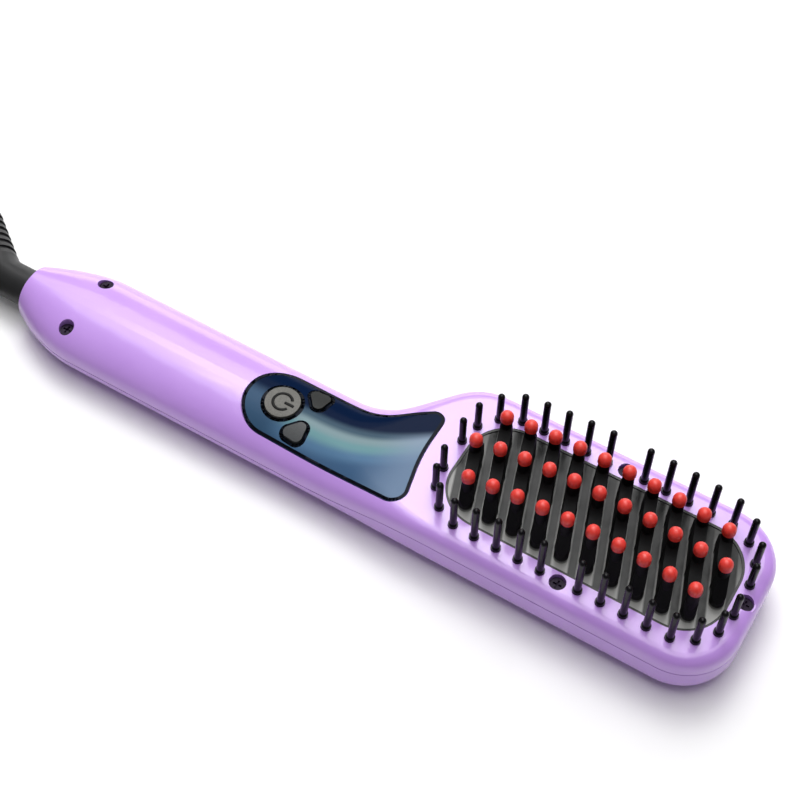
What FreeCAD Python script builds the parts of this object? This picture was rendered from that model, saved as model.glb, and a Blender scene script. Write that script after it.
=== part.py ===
import FreeCAD, Part
import math
import os
from FreeCAD import Vector

# Electric straightening comb, lying on its back. Millimetres, +X to the free end of the head,
# +Z up out of the toothed face, origin under the middle of the body.

os.makedirs("parts", exist_ok=True)

# Body: one straight side, a waisted side, a flat head and an oval handle
BODY_LENGTH = 284.0
BODY_THICKNESS = 21.5
HEAD_LENGTH = 118.5
HEAD_WIDTH = 64.0
HEAD_CORNER = 20.0
HEAD_EDGE = 4.5
BACK_EDGE = 9.0
HANDLE_WIDTH = 38.6
CROWN_FLAT = 1.5
BACK_FLAT = 7.0
SIDE_FLAT = 0.6
NECK_SHOULDER = 50.4
NECK_ANGLE = 47.0
NECK_FILLET = 24.0
NECK_SECTIONS = 14
NECK_BLEND_AHEAD = 5.0
NECK_BLEND_BEHIND = 48.0
NOSE_LENGTH = 29.8
NOSE_END_RADIUS = 10.2
NOSE_POWER = 1.9
NOSE_SECTIONS = 8
WALL = 2.6

# Seam between the two shells
SEAM_RISE = 4.0
SEAM_GAP = 0.35
SEAM_DEPTH = 0.8

# Heating plate and its slanted, toothed ribs
PLATE_LENGTH = 99.6
PLATE_WIDTH = 40.6
PLATE_CORNER = 15.0
PLATE_THICKNESS = 3.3
PLATE_SINK = 0.5
GASKET_WIDTH = 0.9
RIB_COUNT = 11
RIB_PITCH = 9.0
RIB_SLANT = 4.51
RIB_ROOT_THICKNESS = 5.0
RIB_TOP_THICKNESS = 3.2
RIB_END_SHARE = 0.25
ROW_PITCH = 12.99
TOOTH_ROOT_RADIUS = 2.7
TOOTH_TOP_RADIUS = 1.9
TOOTH_EDGE_MARGIN = 4.5
RIB_END_MARGIN = 2.2
VALLEY_SHARE = 0.68
TIP_HEIGHT = 20.6
TIP_FALL_ENDS = 4.88
TIP_FALL_SIDES = 1.38
CAP_RADIUS = 2.3
CAP_SKIRT = 1.6

# Guard bristles round the plate
BRISTLE_LINE_LENGTH = 106.6
BRISTLE_LINE_WIDTH = 48.6
BRISTLE_LINE_CORNER = 17.3
BRISTLES_PER_QUARTER = 8
BRISTLE_FIRST = 6.8
BRISTLE_PITCH = 8.15
BRISTLE_RADIUS = 1.25
BRISTLE_COLLAR_RADIUS = 1.65
BRISTLE_COLLAR_HEIGHT = 1.2
BRISTLE_FOOT_RADIUS = 2.15
BRISTLE_FOOT_HEIGHT = 1.2
BRISTLE_HEIGHT = 19.2
BRISTLE_FALL = 5.64
BRISTLE_CLEARANCE = 0.1
RETAINER_THICKNESS = 1.5
RETAINER_LEDGE = 4.0
RETAINER_CLEARANCE = 0.3
RETAINER_END_GAP = 0.9

# Heater pack behind the plate
HEATER_LENGTH = 76.0
HEATER_WIDTH = 22.0
HEATER_THICKNESS = 2.5
HEATER_CORNER = 1.5
CLAMP_LENGTH = 89.0
CLAMP_WIDTH = 24.0
CLAMP_THICKNESS = 1.2
CLAMP_SCREW_INSET = 3.0
CLAMP_SCREW_SIDE = 8.0
CLAMP_CORNER = 3.0
CLAMP_SLOT = (15.2, 4.0)
CLAMP_NOTCH_GAP = 0.8
SHIELD_LENGTH = 92.0
SHIELD_WIDTH = 42.0
SHIELD_THICKNESS = 0.6
SHIELD_DROP = 3.6
SHIELD_CORNER = 6.0
SHIELD_POST_END = 6.0
SHIELD_POST_SIDE = 2.0
SENSOR_RADIUS = 1.5
SENSOR_SLEEVE_RADIUS = 0.9
SENSOR_LENGTH = 10.0
SENSOR_AHEAD = 14.0
SENSOR_SIDE = 5.0
FUSE_RADIUS = 1.6
FUSE_LENGTH = 12.0
FUSE_WIRE = 4.0
FUSE_WIRE_RADIUS = 0.5
FUSE_BACK = 20.0
TOUCH = 0.05

# Fasteners
SCREW_HEAD_RADIUS = 2.6
SCREW_HEAD_HEIGHT = 1.8
SCREW_SHANK_RADIUS = 1.3
SCREW_HOLE_CLEARANCE = 0.3
SCREW_SINK = 1.6
SCREW_LENGTH = 10.0
SCREW_SLOT_HALF = 0.35
SCREW_SLOT_SHARE = 0.6
SCREW_SLOT_DEPTH = 0.9
PILOT_EXTRA = 0.5
BOSS_RADIUS = 3.4
HEAD_SCREW_SIDE = 24.83
HEAD_SCREW_END = 54.75
HANDLE_SCREW_FROM_END = 24.8
HANDLE_SCREW_SPREAD = 11.6
HANDLE_SCREW_DROP = 2.0
SMALL_SCREW_HEAD_RADIUS = 1.7
SMALL_SCREW_HEAD_HEIGHT = 1.1
SMALL_SCREW_RADIUS = 0.9
SMALL_SCREW_WALL = 0.2
RETAINER_SCREW_LENGTH = 4.0
CLAMP_SCREW_LENGTH = 5.0
BOARD_SCREW_LENGTH = 6.0

# Control panel, buttons and board, placed by their distance behind the middle of the head
PANEL_THICKNESS = 1.6
PANEL_GAP = 0.35
PANEL_LEDGE = 1.2
PANEL_SEAT = 0.1
PANEL_WIDTH = 26.6
PANEL_SHIFT = 0.3
PANEL_REAR = 128.5
PANEL_WAIST = 82.8
PANEL_TIP = 62.4
PANEL_TIP_RISE = 14.7
PANEL_TIP_RADIUS = 3.4
PANEL_WAIST_RADIUS = 20.0
PANEL_FRONT = 57.1
PANEL_FRONT_DROP = 1.6
PANEL_FRONT_RADIUS = 5.5
PANEL_FRONT_DIP = 2.4
PANEL_DIP_RADIUS = 60.0
BUTTON_PROUD = 0.8
BUTTON_GAP = 0.35
BUTTON_TRAVEL = 0.6
BUTTON_LIP = 0.6
BUTTON_LIP_HEIGHT = 1.0
POWER_RADIUS = 6.3
POWER_BACK = 114.3
ARROW_BACK = 103.9
ARROW_SIDE = 7.1
ARROW_CORNER = 2.0
ARROW_REAR_TIP = (6.2, 3.4)
ARROW_OUTER_TIP = (3.6, 4.2)
ARROW_INNER_TIP = (2.0, 6.0)
STEM_FREE = 0.8
STEM_RADIUS = 1.6
BOARD_THICKNESS = 1.6
BOARD_TOP = 11.0
BOARD_LENGTH = 62.0
BOARD_WIDTH = 24.0
BOARD_BACK = 126.0
BOARD_POST_RADIUS = 2.4
BOARD_POST_INSET = 3.2
SWITCH_SIZE = 6.0
SWITCH_HEIGHT = 3.0
PLUNGER_RADIUS = 1.5
PLUNGER_CLEARANCE = 0.25
PLUNGER_HEIGHT = 2.0
PLUNGER_PROUD = 0.8
DISPLAY_LENGTH = 28.0
DISPLAY_WIDTH = 17.0
BACKLIGHT_HEIGHT = 3.0
GLASS_HEIGHT = 2.4
DISPLAY_GAP = 0.5
DISPLAY_LEDGE = 2.0
CAPACITOR_SIZE = (13.0, 6.0, 5.2)
CAPACITOR_INSET = 13.0
CHIP_SIZE = (7.0, 7.0, 1.4)
CHIP_INSET = 4.5
TRIAC_SIZE = (9.0, 10.0, 4.4)
TRIAC_INSET = 18.0
TRIAC_TAB = 6.0
TRIAC_TAB_THICKNESS = 1.3
TRIAC_HOLE_RADIUS = 1.8
LINK_LENGTH = 8.0
LINK_RADIUS = 2.15
LINK_CAP = 2.0
LINK_INSET = 8.0
LEAD_RADIUS = 0.8
LEAD_SIDE = 3.0
LEAD_STRAIGHT = 3.0
LEAD_DIP = 2.4
LEAD_DIP_REACH = 9.0
LEAD_ENTRY = 7.0
LEAD_SPREAD = 2.0

# Swivelling cord outlet
HUB_RADIUS = 5.5
HUB_RUNNING_FIT = 0.06
COLLAR_RADIUS = 7.2
COLLAR_LENGTH = 2.6
COLLAR_CLEARANCE = 0.15
HUB_SIDE_CLEARANCE = 0.3
TAIL_RADIUS = 4.4
TAIL_LENGTH = 11.0
RIB_WALL = 2.0
RING_THICKNESS = 0.5
RING_WIDTH = 2.0
RING_SPACING = 3.2
RING_TOUCH = 0.3
RING_END = 1.0
SPRING_THICKNESS = 0.4
SPRING_LENGTH = 9.0
SPRING_INSET = 0.2
CONTACT_WIDTH = 10.0
CONTACT_AHEAD = 2.0
BOOT_GAP = 0.3
BOOT_RADIUS = 7.2
BOOT_STRAIGHT = 11.0
BOOT_BEND_RADIUS = 14.0
BOOT_TURN = 42.0
BOOT_TAPER_LENGTH = 26.0
BOOT_END_RADIUS = 4.2
BOOT_RIBS = 7
BOOT_GROOVE = 0.8

# Cord, put away as a tied coil behind the handle, and its plug
CORD_RADIUS = 2.8
COIL_RADIUS = 45.0
COIL_PITCH = 6.1
COIL_TURNS_PER_LAYER = 3.5
COIL_LIFT = 1.0
COIL_LEAD = 30.0
COIL_CLIMB = 0.5
TAIL_STRAIGHT = 6.0
TAIL_BEND = 24.0
TAIL_SHIFT = 4.0
TIE_THICKNESS = 0.8
TIE_WIDTH = 10.0
TIE_CLEARANCE = 0.15
PLUG_GRIP_LENGTH = 14.0
PLUG_BODY_LENGTH = 24.0
PLUG_WIDTH = 30.0
PLUG_CORNER = 7.0
PLUG_NECK_HALF = 5.0
PLUG_NECK_CORNER = 4.6
PLUG_PIN_RADIUS = 2.0
PLUG_PIN_LENGTH = 19.0
PLUG_PIN_SPACING = 19.0

# Places worked out from the sizes above
REAR_X = -BODY_LENGTH / 2
HEAD_X = BODY_LENGTH / 2 - HEAD_LENGTH / 2
HANDLE_Y = (HANDLE_WIDTH - HEAD_WIDTH) / 2
FACE_Z = BODY_THICKNESS
MID_Z = BODY_THICKNESS / 2
HANDLE_FAR_Y = HANDLE_Y + HANDLE_WIDTH / 2
INNER_Z = FACE_Z - WALL
PLATE_TOP = FACE_Z - PLATE_SINK
PLATE_BOTTOM = INNER_Z - BRISTLE_FOOT_HEIGHT
RETAINER_BOTTOM = PLATE_BOTTOM - RETAINER_THICKNESS
HEATER_BOTTOM = PLATE_BOTTOM - HEATER_THICKNESS
CLAMP_BOTTOM = HEATER_BOTTOM - CLAMP_THICKNESS
SHIELD_TOP = CLAMP_BOTTOM - SHIELD_DROP
SHIELD_BOTTOM = SHIELD_TOP - SHIELD_THICKNESS
BOARD_BOTTOM = BOARD_TOP - BOARD_THICKNESS
PANEL_Y = HANDLE_Y + PANEL_SHIFT

UP = Vector(0, 0, 1)
ALONG = Vector(1, 0, 0)
KAPPA = 4 * (math.sqrt(2) - 1) / 3


# Basic solids

def box(x0, x1, y0, y1, z0, z1):
    return Part.makeBox(x1 - x0, y1 - y0, z1 - z0, Vector(x0, y0, z0))


def post(x, y, z0, z1, radius):
    return Part.makeCylinder(radius, z1 - z0, Vector(x, y, z0), UP)


def rod(x0, x1, y, z, radius):
    return Part.makeCylinder(radius, x1 - x0, Vector(x0, y, z), ALONG)


def line(a, b):
    return Part.LineSegment(a, b).toShape()


def quarter(start, corner, end):
    """A quarter oval from start to end whose tangents meet at the corner."""
    curve = Part.BezierCurve()
    first = start + (corner - start) * KAPPA
    second = end + (corner - end) * KAPPA
    curve.setPoles([start, first, second, end])
    return curve.toShape()


def rounded_outline(corners, z):
    """A closed wire through (x, y, radius) corners, each rounded by a tangent arc."""
    points = [Vector(x, y, z) for x, y, radius in corners]
    edges = []
    ends = []
    for k, (x, y, radius) in enumerate(corners):
        here = points[k]
        back = (points[k - 1] - here).normalize()
        ahead = (points[(k + 1) % len(points)] - here).normalize()
        half = back.getAngle(ahead) / 2
        reach = radius / math.tan(half)
        middle = (back + ahead).normalize()
        bow = radius / math.sin(half) - radius
        ends.append((here + back * reach, here + middle * bow, here + ahead * reach))
    for k, (start, bow, end) in enumerate(ends):
        edges.append(Part.Arc(start, bow, end).toShape())
        following = ends[(k + 1) % len(ends)][0]
        if (following - end).Length > 1e-6:
            edges.append(line(end, following))
    return Part.Wire(edges)


def slab(wire, height):
    return Part.Face(wire).extrude(Vector(0, 0, height))


def head_outline(length, width, corner, z):
    """A rounded rectangle centred on the head."""
    a = length / 2
    b = width / 2
    corners = [(HEAD_X - a, -b, corner), (HEAD_X + a, -b, corner),
               (HEAD_X + a, b, corner), (HEAD_X - a, b, corner)]
    return rounded_outline(corners, z)


def head_slab(length, width, corner, z0, z1):
    return slab(head_outline(length, width, corner, z0), z1 - z0)


def tube(points, radius):
    """A round lead through a few points, its corners rounded by tangent arcs."""
    edges = []
    start = points[0]
    for k in range(1, len(points) - 1):
        back = points[k - 1] - points[k]
        ahead = points[k + 1] - points[k]
        half = back.getAngle(ahead) / 2
        reach = 0.45 * min(back.Length, ahead.Length)
        bend = reach * math.tan(half)
        back = back.normalize()
        ahead = ahead.normalize()
        middle = (back + ahead).normalize()
        bow = points[k] + middle * (bend / math.sin(half) - bend)
        edges.append(line(start, points[k] + back * reach))
        edges.append(Part.Arc(points[k] + back * reach, bow, points[k] + ahead * reach).toShape())
        start = points[k] + ahead * reach
    edges.append(line(start, points[-1]))
    return sweep(edges, radius)


def sweep(edges, radius):
    """A round section carried along a smooth chain of edges."""
    first = edges[0]
    start = first.valueAt(first.FirstParameter)
    heading = first.tangentAt(first.FirstParameter)
    section = Part.Wire([Part.Circle(start, heading, radius).toShape()])
    return Part.Wire(edges).makePipeShell([section], True, False)


# Outer form of the body

def section_wire(x, near, far, low, high, top, bottom):
    """One cross-section: flats joined by quarter ovals; top and bottom are (width, height)."""
    tw, th = top
    bw, bh = bottom

    def at(y, z):
        return Vector(x, y, z)

    edges = [
        line(at(far - tw, high), at(near + tw, high)),
        quarter(at(near + tw, high), at(near, high), at(near, high - th)),
        line(at(near, high - th), at(near, low + bh)),
        quarter(at(near, low + bh), at(near, low), at(near + bw, low)),
        line(at(near + bw, low), at(far - bw, low)),
        quarter(at(far - bw, low), at(far, low), at(far, low + bh)),
        line(at(far, low + bh), at(far, high - th)),
        quarter(at(far, high - th), at(far, high), at(far - tw, high)),
    ]
    return Part.Wire(edges)


def far_side(x):
    """Far edge of the body: head side, convex shoulder, slope, concave waist, handle side."""
    angle = math.radians(NECK_ANGLE)
    shoulder_x = HEAD_X - NECK_SHOULDER
    head_y = HEAD_WIDTH / 2
    shoulder_drop = HEAD_CORNER * (1 - math.cos(angle))
    waist_rise = NECK_FILLET * (1 - math.cos(angle))
    slope_drop = head_y - HANDLE_FAR_Y - shoulder_drop - waist_rise
    slope_start = shoulder_x - HEAD_CORNER * math.sin(angle)
    slope_end = slope_start - slope_drop / math.tan(angle)
    waist_end = slope_end - NECK_FILLET * math.sin(angle)
    if x >= shoulder_x:
        return head_y
    if x >= slope_start:
        reach = shoulder_x - x
        return head_y - HEAD_CORNER + math.sqrt(HEAD_CORNER ** 2 - reach ** 2)
    if x >= slope_end:
        return head_y - shoulder_drop - (slope_start - x) * math.tan(angle)
    if x >= waist_end:
        reach = x - waist_end
        return HANDLE_FAR_Y + NECK_FILLET - math.sqrt(NECK_FILLET ** 2 - reach ** 2)
    return HANDLE_FAR_Y


NECK_FRONT_X = HEAD_X - NECK_SHOULDER + NECK_BLEND_AHEAD
NECK_REAR_X = HEAD_X - NECK_SHOULDER - NECK_BLEND_BEHIND
NOSE_FRONT_X = REAR_X + NOSE_LENGTH
HEAD_END_X = HEAD_X + HEAD_LENGTH / 2 - HEAD_CORNER
HANDLE_TOP = (HANDLE_WIDTH / 2 - CROWN_FLAT, MID_Z - SIDE_FLAT)
HANDLE_BOTTOM = (HANDLE_WIDTH / 2 - BACK_FLAT, MID_Z - SIDE_FLAT)
HEAD_TOP = (HEAD_EDGE, HEAD_EDGE)
HEAD_BOTTOM = (BACK_EDGE, BACK_EDGE)


def blend(a, b, share):
    return (a[0] + (b[0] - a[0]) * share, a[1] + (b[1] - a[1]) * share)


def shrunk(pair, inset):
    return (max(pair[0] - inset, 0.8), max(pair[1] - inset, 0.8))


def body_section(x, inset):
    """Cross-section between the handle and the head, drawn in by inset."""
    share = (x - NECK_REAR_X) / (NECK_FRONT_X - NECK_REAR_X)
    share = min(max(share, 0.0), 1.0)
    share = share * share * (3 - 2 * share)
    top = shrunk(blend(HANDLE_TOP, HEAD_TOP, share), inset)
    bottom = shrunk(blend(HANDLE_BOTTOM, HEAD_BOTTOM, share), inset)
    near = -HEAD_WIDTH / 2 + inset
    far = far_side(x) - inset
    return section_wire(x, near, far, inset, BODY_THICKNESS - inset, top, bottom)


def nose_section(x, inset):
    """Cross-section of the tapering rear end, nearly round at the cord outlet."""
    share = ((NOSE_FRONT_X - x) / NOSE_LENGTH) ** NOSE_POWER
    half_width = HANDLE_WIDTH / 2 + (NOSE_END_RADIUS - HANDLE_WIDTH / 2) * share
    half_height = MID_Z + (NOSE_END_RADIUS - MID_Z) * share
    round_end = (NOSE_END_RADIUS - SIDE_FLAT, NOSE_END_RADIUS - SIDE_FLAT)
    top = shrunk(blend(HANDLE_TOP, round_end, share), inset)
    bottom = shrunk(blend(HANDLE_BOTTOM, round_end, share), inset)
    near = HANDLE_Y - half_width + inset
    far = HANDLE_Y + half_width - inset
    return section_wire(x, near, far, MID_Z - half_height + inset, MID_Z + half_height - inset, top, bottom)


def head_end(inset):
    """Rounded free end of the head: its edge profile turned about both corners and run across."""
    corner = HEAD_CORNER - inset
    low = inset
    high = BODY_THICKNESS - inset
    tw, th = shrunk(HEAD_TOP, inset)
    bw, bh = shrunk(HEAD_BOTTOM, inset)
    centre_y = HEAD_WIDTH / 2 - HEAD_CORNER

    def at(reach, z):
        return Vector(HEAD_END_X + reach, -centre_y, z)

    profile = Part.Face(Part.Wire([
        line(at(0, high), at(corner - tw, high)),
        quarter(at(corner - tw, high), at(corner, high), at(corner, high - th)),
        line(at(corner, high - th), at(corner, low + bh)),
        quarter(at(corner, low + bh), at(corner, low), at(corner - bw, low)),
        line(at(corner - bw, low), at(0, low)),
        line(at(0, low), at(0, high)),
    ]))
    middle = profile.extrude(Vector(0, 2 * centre_y, 0))
    near = profile.revolve(Vector(HEAD_END_X, -centre_y, 0), UP, -90)
    lifted = profile.translated(Vector(0, 2 * centre_y, 0))
    far = lifted.revolve(Vector(HEAD_END_X, centre_y, 0), UP, 90)
    return [middle, near, far]


def body_solid(inset):
    """The whole body, drawn in by inset on every side."""
    nose_start = REAR_X + max(inset, 0.0)
    nose_step = (NOSE_FRONT_X - nose_start) / NOSE_SECTIONS
    nose = [nose_section(nose_start + nose_step * k, inset) for k in range(NOSE_SECTIONS + 1)]
    neck_step = (NECK_FRONT_X - NECK_REAR_X) / NECK_SECTIONS
    neck = [body_section(NECK_REAR_X + neck_step * k, inset) for k in range(NECK_SECTIONS + 1)]
    handle = Part.Face(body_section(NOSE_FRONT_X, inset)).extrude(Vector(NECK_REAR_X - NOSE_FRONT_X, 0, 0))
    head = Part.Face(body_section(NECK_FRONT_X, inset)).extrude(Vector(HEAD_END_X - NECK_FRONT_X, 0, 0))
    solids = [Part.makeLoft(nose, True), handle, Part.makeLoft(neck, True), head] + head_end(inset)
    return solids[0].multiFuse(solids[1:]).removeSplitter()


def above_seam(drop):
    """Everything over the seam surface, which climbs from mid-height at the handle to the head."""
    reach = BODY_LENGTH
    low = MID_Z - drop
    high = MID_Z + SEAM_RISE - drop
    top = 4 * BODY_THICKNESS

    def at(x, z):
        return Vector(x, -HEAD_WIDTH, z)

    half = (NECK_REAR_X + NECK_FRONT_X) / 2
    climb = Part.BezierCurve()
    climb.setPoles([at(NECK_REAR_X, low), at(half, low), at(half, high), at(NECK_FRONT_X, high)])
    wire = Part.Wire([
        line(at(-reach, low), at(NECK_REAR_X, low)),
        climb.toShape(),
        line(at(NECK_FRONT_X, high), at(reach, high)),
        line(at(reach, high), at(reach, top)),
        line(at(reach, top), at(-reach, top)),
        line(at(-reach, top), at(-reach, low)),
    ])
    return Part.Face(wire).extrude(Vector(0, 2 * HEAD_WIDTH, 0))


OUTER = body_solid(0.0)
INNER = body_solid(WALL)
UPPER = above_seam(0.0)


# Repeated places

def bristle_places():
    """Points at an even step along a rounded rectangle, mirrored into four quarters."""
    straight = BRISTLE_LINE_LENGTH / 2 - BRISTLE_LINE_CORNER
    side = BRISTLE_LINE_WIDTH / 2
    places = []
    for k in range(BRISTLES_PER_QUARTER):
        run = BRISTLE_FIRST + BRISTLE_PITCH * k
        turn = min(max((run - straight) / BRISTLE_LINE_CORNER, 0.0), math.pi / 2)
        past = max(run - straight - BRISTLE_LINE_CORNER * math.pi / 2, 0.0)
        x = min(run, straight) + BRISTLE_LINE_CORNER * math.sin(turn)
        y = side - BRISTLE_LINE_CORNER * (1 - math.cos(turn)) - past
        for sx in (1, -1):
            for sy in (1, -1):
                places.append((sx * x, sy * y))
    return places


def inside_plate(x, y, margin):
    """True where a point on the plate is at least margin from its rounded edge."""
    reach_x = abs(x) - (PLATE_LENGTH / 2 - PLATE_CORNER)
    reach_y = abs(y) - (PLATE_WIDTH / 2 - PLATE_CORNER)
    if reach_x > 0 and reach_y > 0:
        return math.hypot(reach_x, reach_y) <= PLATE_CORNER - margin
    return max(reach_x, reach_y) <= PLATE_CORNER - margin


def rib_numbers():
    half = RIB_COUNT // 2
    return range(-half, half + 1)


def tooth_places(rib):
    """(x, y, shoulder height) of the teeth on one rib, from the near side to the far side."""
    places = []
    for row in (-1, 0, 1):
        x = RIB_PITCH * rib - RIB_SLANT * row
        y = ROW_PITCH * row
        if inside_plate(x, y, TOOTH_EDGE_MARGIN):
            ends = (rib / (RIB_COUNT // 2)) ** 2
            height = TIP_HEIGHT - TIP_FALL_ENDS * ends - TIP_FALL_SIDES * row * row
            places.append((x, y, FACE_Z + height - CAP_SKIRT))
    return places


HEAD_SCREWS = [(HEAD_X, -HEAD_SCREW_SIDE), (HEAD_X, HEAD_SCREW_SIDE), (HEAD_X + HEAD_SCREW_END, 0.0)]
HANDLE_SCREWS = [(REAR_X + HANDLE_SCREW_FROM_END, HANDLE_Y + side * HANDLE_SCREW_SPREAD) for side in (-1, 1)]
RETAINER_SCREW_Y = HEAD_WIDTH / 2 - WALL - SMALL_SCREW_HEAD_RADIUS - SMALL_SCREW_WALL
RETAINER_SCREW_X = BRISTLE_FIRST + 2.5 * BRISTLE_PITCH
RETAINER_SCREWS = [(HEAD_X + sx * RETAINER_SCREW_X, sy * RETAINER_SCREW_Y)
                   for sx in (-1, 1) for sy in (-1, 1)]
CLAMP_SCREWS = [(HEAD_X + sx * (CLAMP_LENGTH / 2 - CLAMP_SCREW_INSET), sy * CLAMP_SCREW_SIDE)
                for sx in (-1, 1) for sy in (-1, 1)]
HEAD_JOINT_Z = MID_Z + SEAM_RISE
HANDLE_JOINT_Z = MID_Z
HEAD_SEAT_Z = FACE_Z - SCREW_SINK - SCREW_HEAD_HEIGHT
HANDLE_SEAT_Z = HEAD_SEAT_Z - HANDLE_SCREW_DROP
BOARD_REAR_X = HEAD_X - BOARD_BACK
BOARD_FRONT_X = BOARD_REAR_X + BOARD_LENGTH
BOARD_POSTS = [(x, HANDLE_Y + side * (BOARD_WIDTH / 2 - BOARD_POST_INSET))
               for x in (BOARD_REAR_X + BOARD_POST_INSET, BOARD_FRONT_X - BOARD_POST_INSET) for side in (-1, 1)]
SHIELD_POST_X = SHIELD_LENGTH / 2 - SHIELD_POST_END
SHIELD_POST_Y = SHIELD_WIDTH / 2 - SHIELD_POST_SIDE
SHIELD_POSTS = [(HEAD_X + sx * SHIELD_POST_X, sy * SHIELD_POST_Y) for sx in (-1, 1) for sy in (-1, 1)]
HUB_POCKET_REAR = REAR_X + WALL
HUB_POCKET_FRONT = HUB_POCKET_REAR + COLLAR_LENGTH + 2 * COLLAR_CLEARANCE


# Panel and button outlines

def panel_corners(grow):
    """Corners of the panel: round rear end, straight near side, hollow front, far side flaring to the head."""
    half = PANEL_WIDTH / 2
    rear = half - 0.05
    far = PANEL_Y + half
    near = PANEL_Y - half
    front = HEAD_X - PANEL_FRONT
    tip = HEAD_X - PANEL_TIP
    dip_y = (near - PANEL_FRONT_DROP + far + PANEL_TIP_RISE) / 2
    return [
        (HEAD_X - PANEL_REAR - grow, near - grow, rear + grow),
        (front + grow, near - PANEL_FRONT_DROP - grow, PANEL_FRONT_RADIUS + grow),
        ((front + tip) / 2 - PANEL_FRONT_DIP + grow, dip_y, PANEL_DIP_RADIUS - grow),
        (tip + grow, far + PANEL_TIP_RISE + grow, PANEL_TIP_RADIUS + grow),
        (HEAD_X - PANEL_WAIST, far + grow, PANEL_WAIST_RADIUS - grow),
        (HEAD_X - PANEL_REAR - grow, far + grow, rear + grow),
    ]


def panel_prism(grow, z0, z1):
    return slab(rounded_outline(panel_corners(grow), z0), z1 - z0)


def arrow_corners(side, grow):
    """A rounded triangle whose long edge runs along the handle side; side is -1 near, +1 far."""
    x = HEAD_X - ARROW_BACK
    y = PANEL_Y + side * ARROW_SIDE
    radius = ARROW_CORNER + grow
    rear_x, rear_y = ARROW_REAR_TIP
    outer_x, outer_y = ARROW_OUTER_TIP
    inner_x, inner_y = ARROW_INNER_TIP
    tips = [(x - rear_x - 1.6 * grow, y + side * (rear_y + grow), radius),
            (x + outer_x + grow, y + side * (outer_y + 1.6 * grow), radius),
            (x + inner_x + 0.8 * grow, y - side * (inner_y + 1.6 * grow), radius)]
    return tips if side < 0 else tips[::-1]


def power_prism(grow, z0, z1):
    return post(HEAD_X - POWER_BACK, PANEL_Y, z0, z1, POWER_RADIUS + grow)


def near_prism(grow, z0, z1):
    return slab(rounded_outline(arrow_corners(-1, grow), z0), z1 - z0)


def far_prism(grow, z0, z1):
    return slab(rounded_outline(arrow_corners(1, grow), z0), z1 - z0)


BUTTONS = {"power_button": (power_prism, HEAD_X - POWER_BACK, PANEL_Y),
           "lower_button": (near_prism, HEAD_X - ARROW_BACK, PANEL_Y - ARROW_SIDE),
           "raise_button": (far_prism, HEAD_X - ARROW_BACK, PANEL_Y + ARROW_SIDE)}
SWITCH_TOP = BOARD_TOP + SWITCH_HEIGHT
PLUNGER_TOP = SWITCH_TOP + PLUNGER_PROUD
LIP_BOTTOM = PLUNGER_TOP + STEM_FREE
LIP_TOP = LIP_BOTTOM + BUTTON_LIP_HEIGHT


# Shells

def front_shell():
    """Upper half: head face with plate opening and bristle holes, panel recess, screw bosses."""
    shell = OUTER.cut(INNER).common(UPPER)
    bosses = [post(x, y, HEAD_JOINT_Z, FACE_Z - 1.0, BOSS_RADIUS) for x, y in HEAD_SCREWS]
    bosses += [post(x, y, HANDLE_JOINT_Z, FACE_Z, BOSS_RADIUS).common(OUTER) for x, y in HANDLE_SCREWS]
    bosses += [post(x, y, PLATE_BOTTOM, INNER_Z, SMALL_SCREW_HEAD_RADIUS) for x, y in RETAINER_SCREWS]
    bosses.append(hub_rib(UPPER))
    shell = shell.multiFuse(bosses)
    opening_length = PLATE_LENGTH + 2 * GASKET_WIDTH
    opening_width = PLATE_WIDTH + 2 * GASKET_WIDTH
    opening_corner = PLATE_CORNER + GASKET_WIDTH
    cuts = [head_slab(opening_length, opening_width, opening_corner, PLATE_BOTTOM, FACE_Z + 1)]
    hole = BRISTLE_COLLAR_RADIUS + BRISTLE_CLEARANCE
    pocket = BRISTLE_FOOT_RADIUS + BRISTLE_CLEARANCE
    cuts += [post(HEAD_X + x, y, PLATE_BOTTOM, FACE_Z + 1, hole) for x, y in bristle_places()]
    cuts += [post(HEAD_X + x, y, PLATE_BOTTOM - 1, INNER_Z, pocket) for x, y in bristle_places()]
    cuts += screw_cuts(HEAD_SCREWS, HEAD_SEAT_Z, 0.0)
    cuts += screw_cuts(HANDLE_SCREWS, HANDLE_SEAT_Z, 0.0)
    cuts += [post(x, y, PLATE_BOTTOM - 1, FACE_Z - 1.2, SMALL_SCREW_RADIUS + TOUCH) for x, y in RETAINER_SCREWS]
    recess = panel_prism(PANEL_GAP, MID_Z, 2 * FACE_Z).cut(body_solid(PANEL_THICKNESS + PANEL_SEAT))
    cuts.append(recess)
    cuts.append(panel_prism(-PANEL_LEDGE, MID_Z, 2 * FACE_Z))
    cuts.append(hub_cut())
    return shell.cut(cuts)


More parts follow.
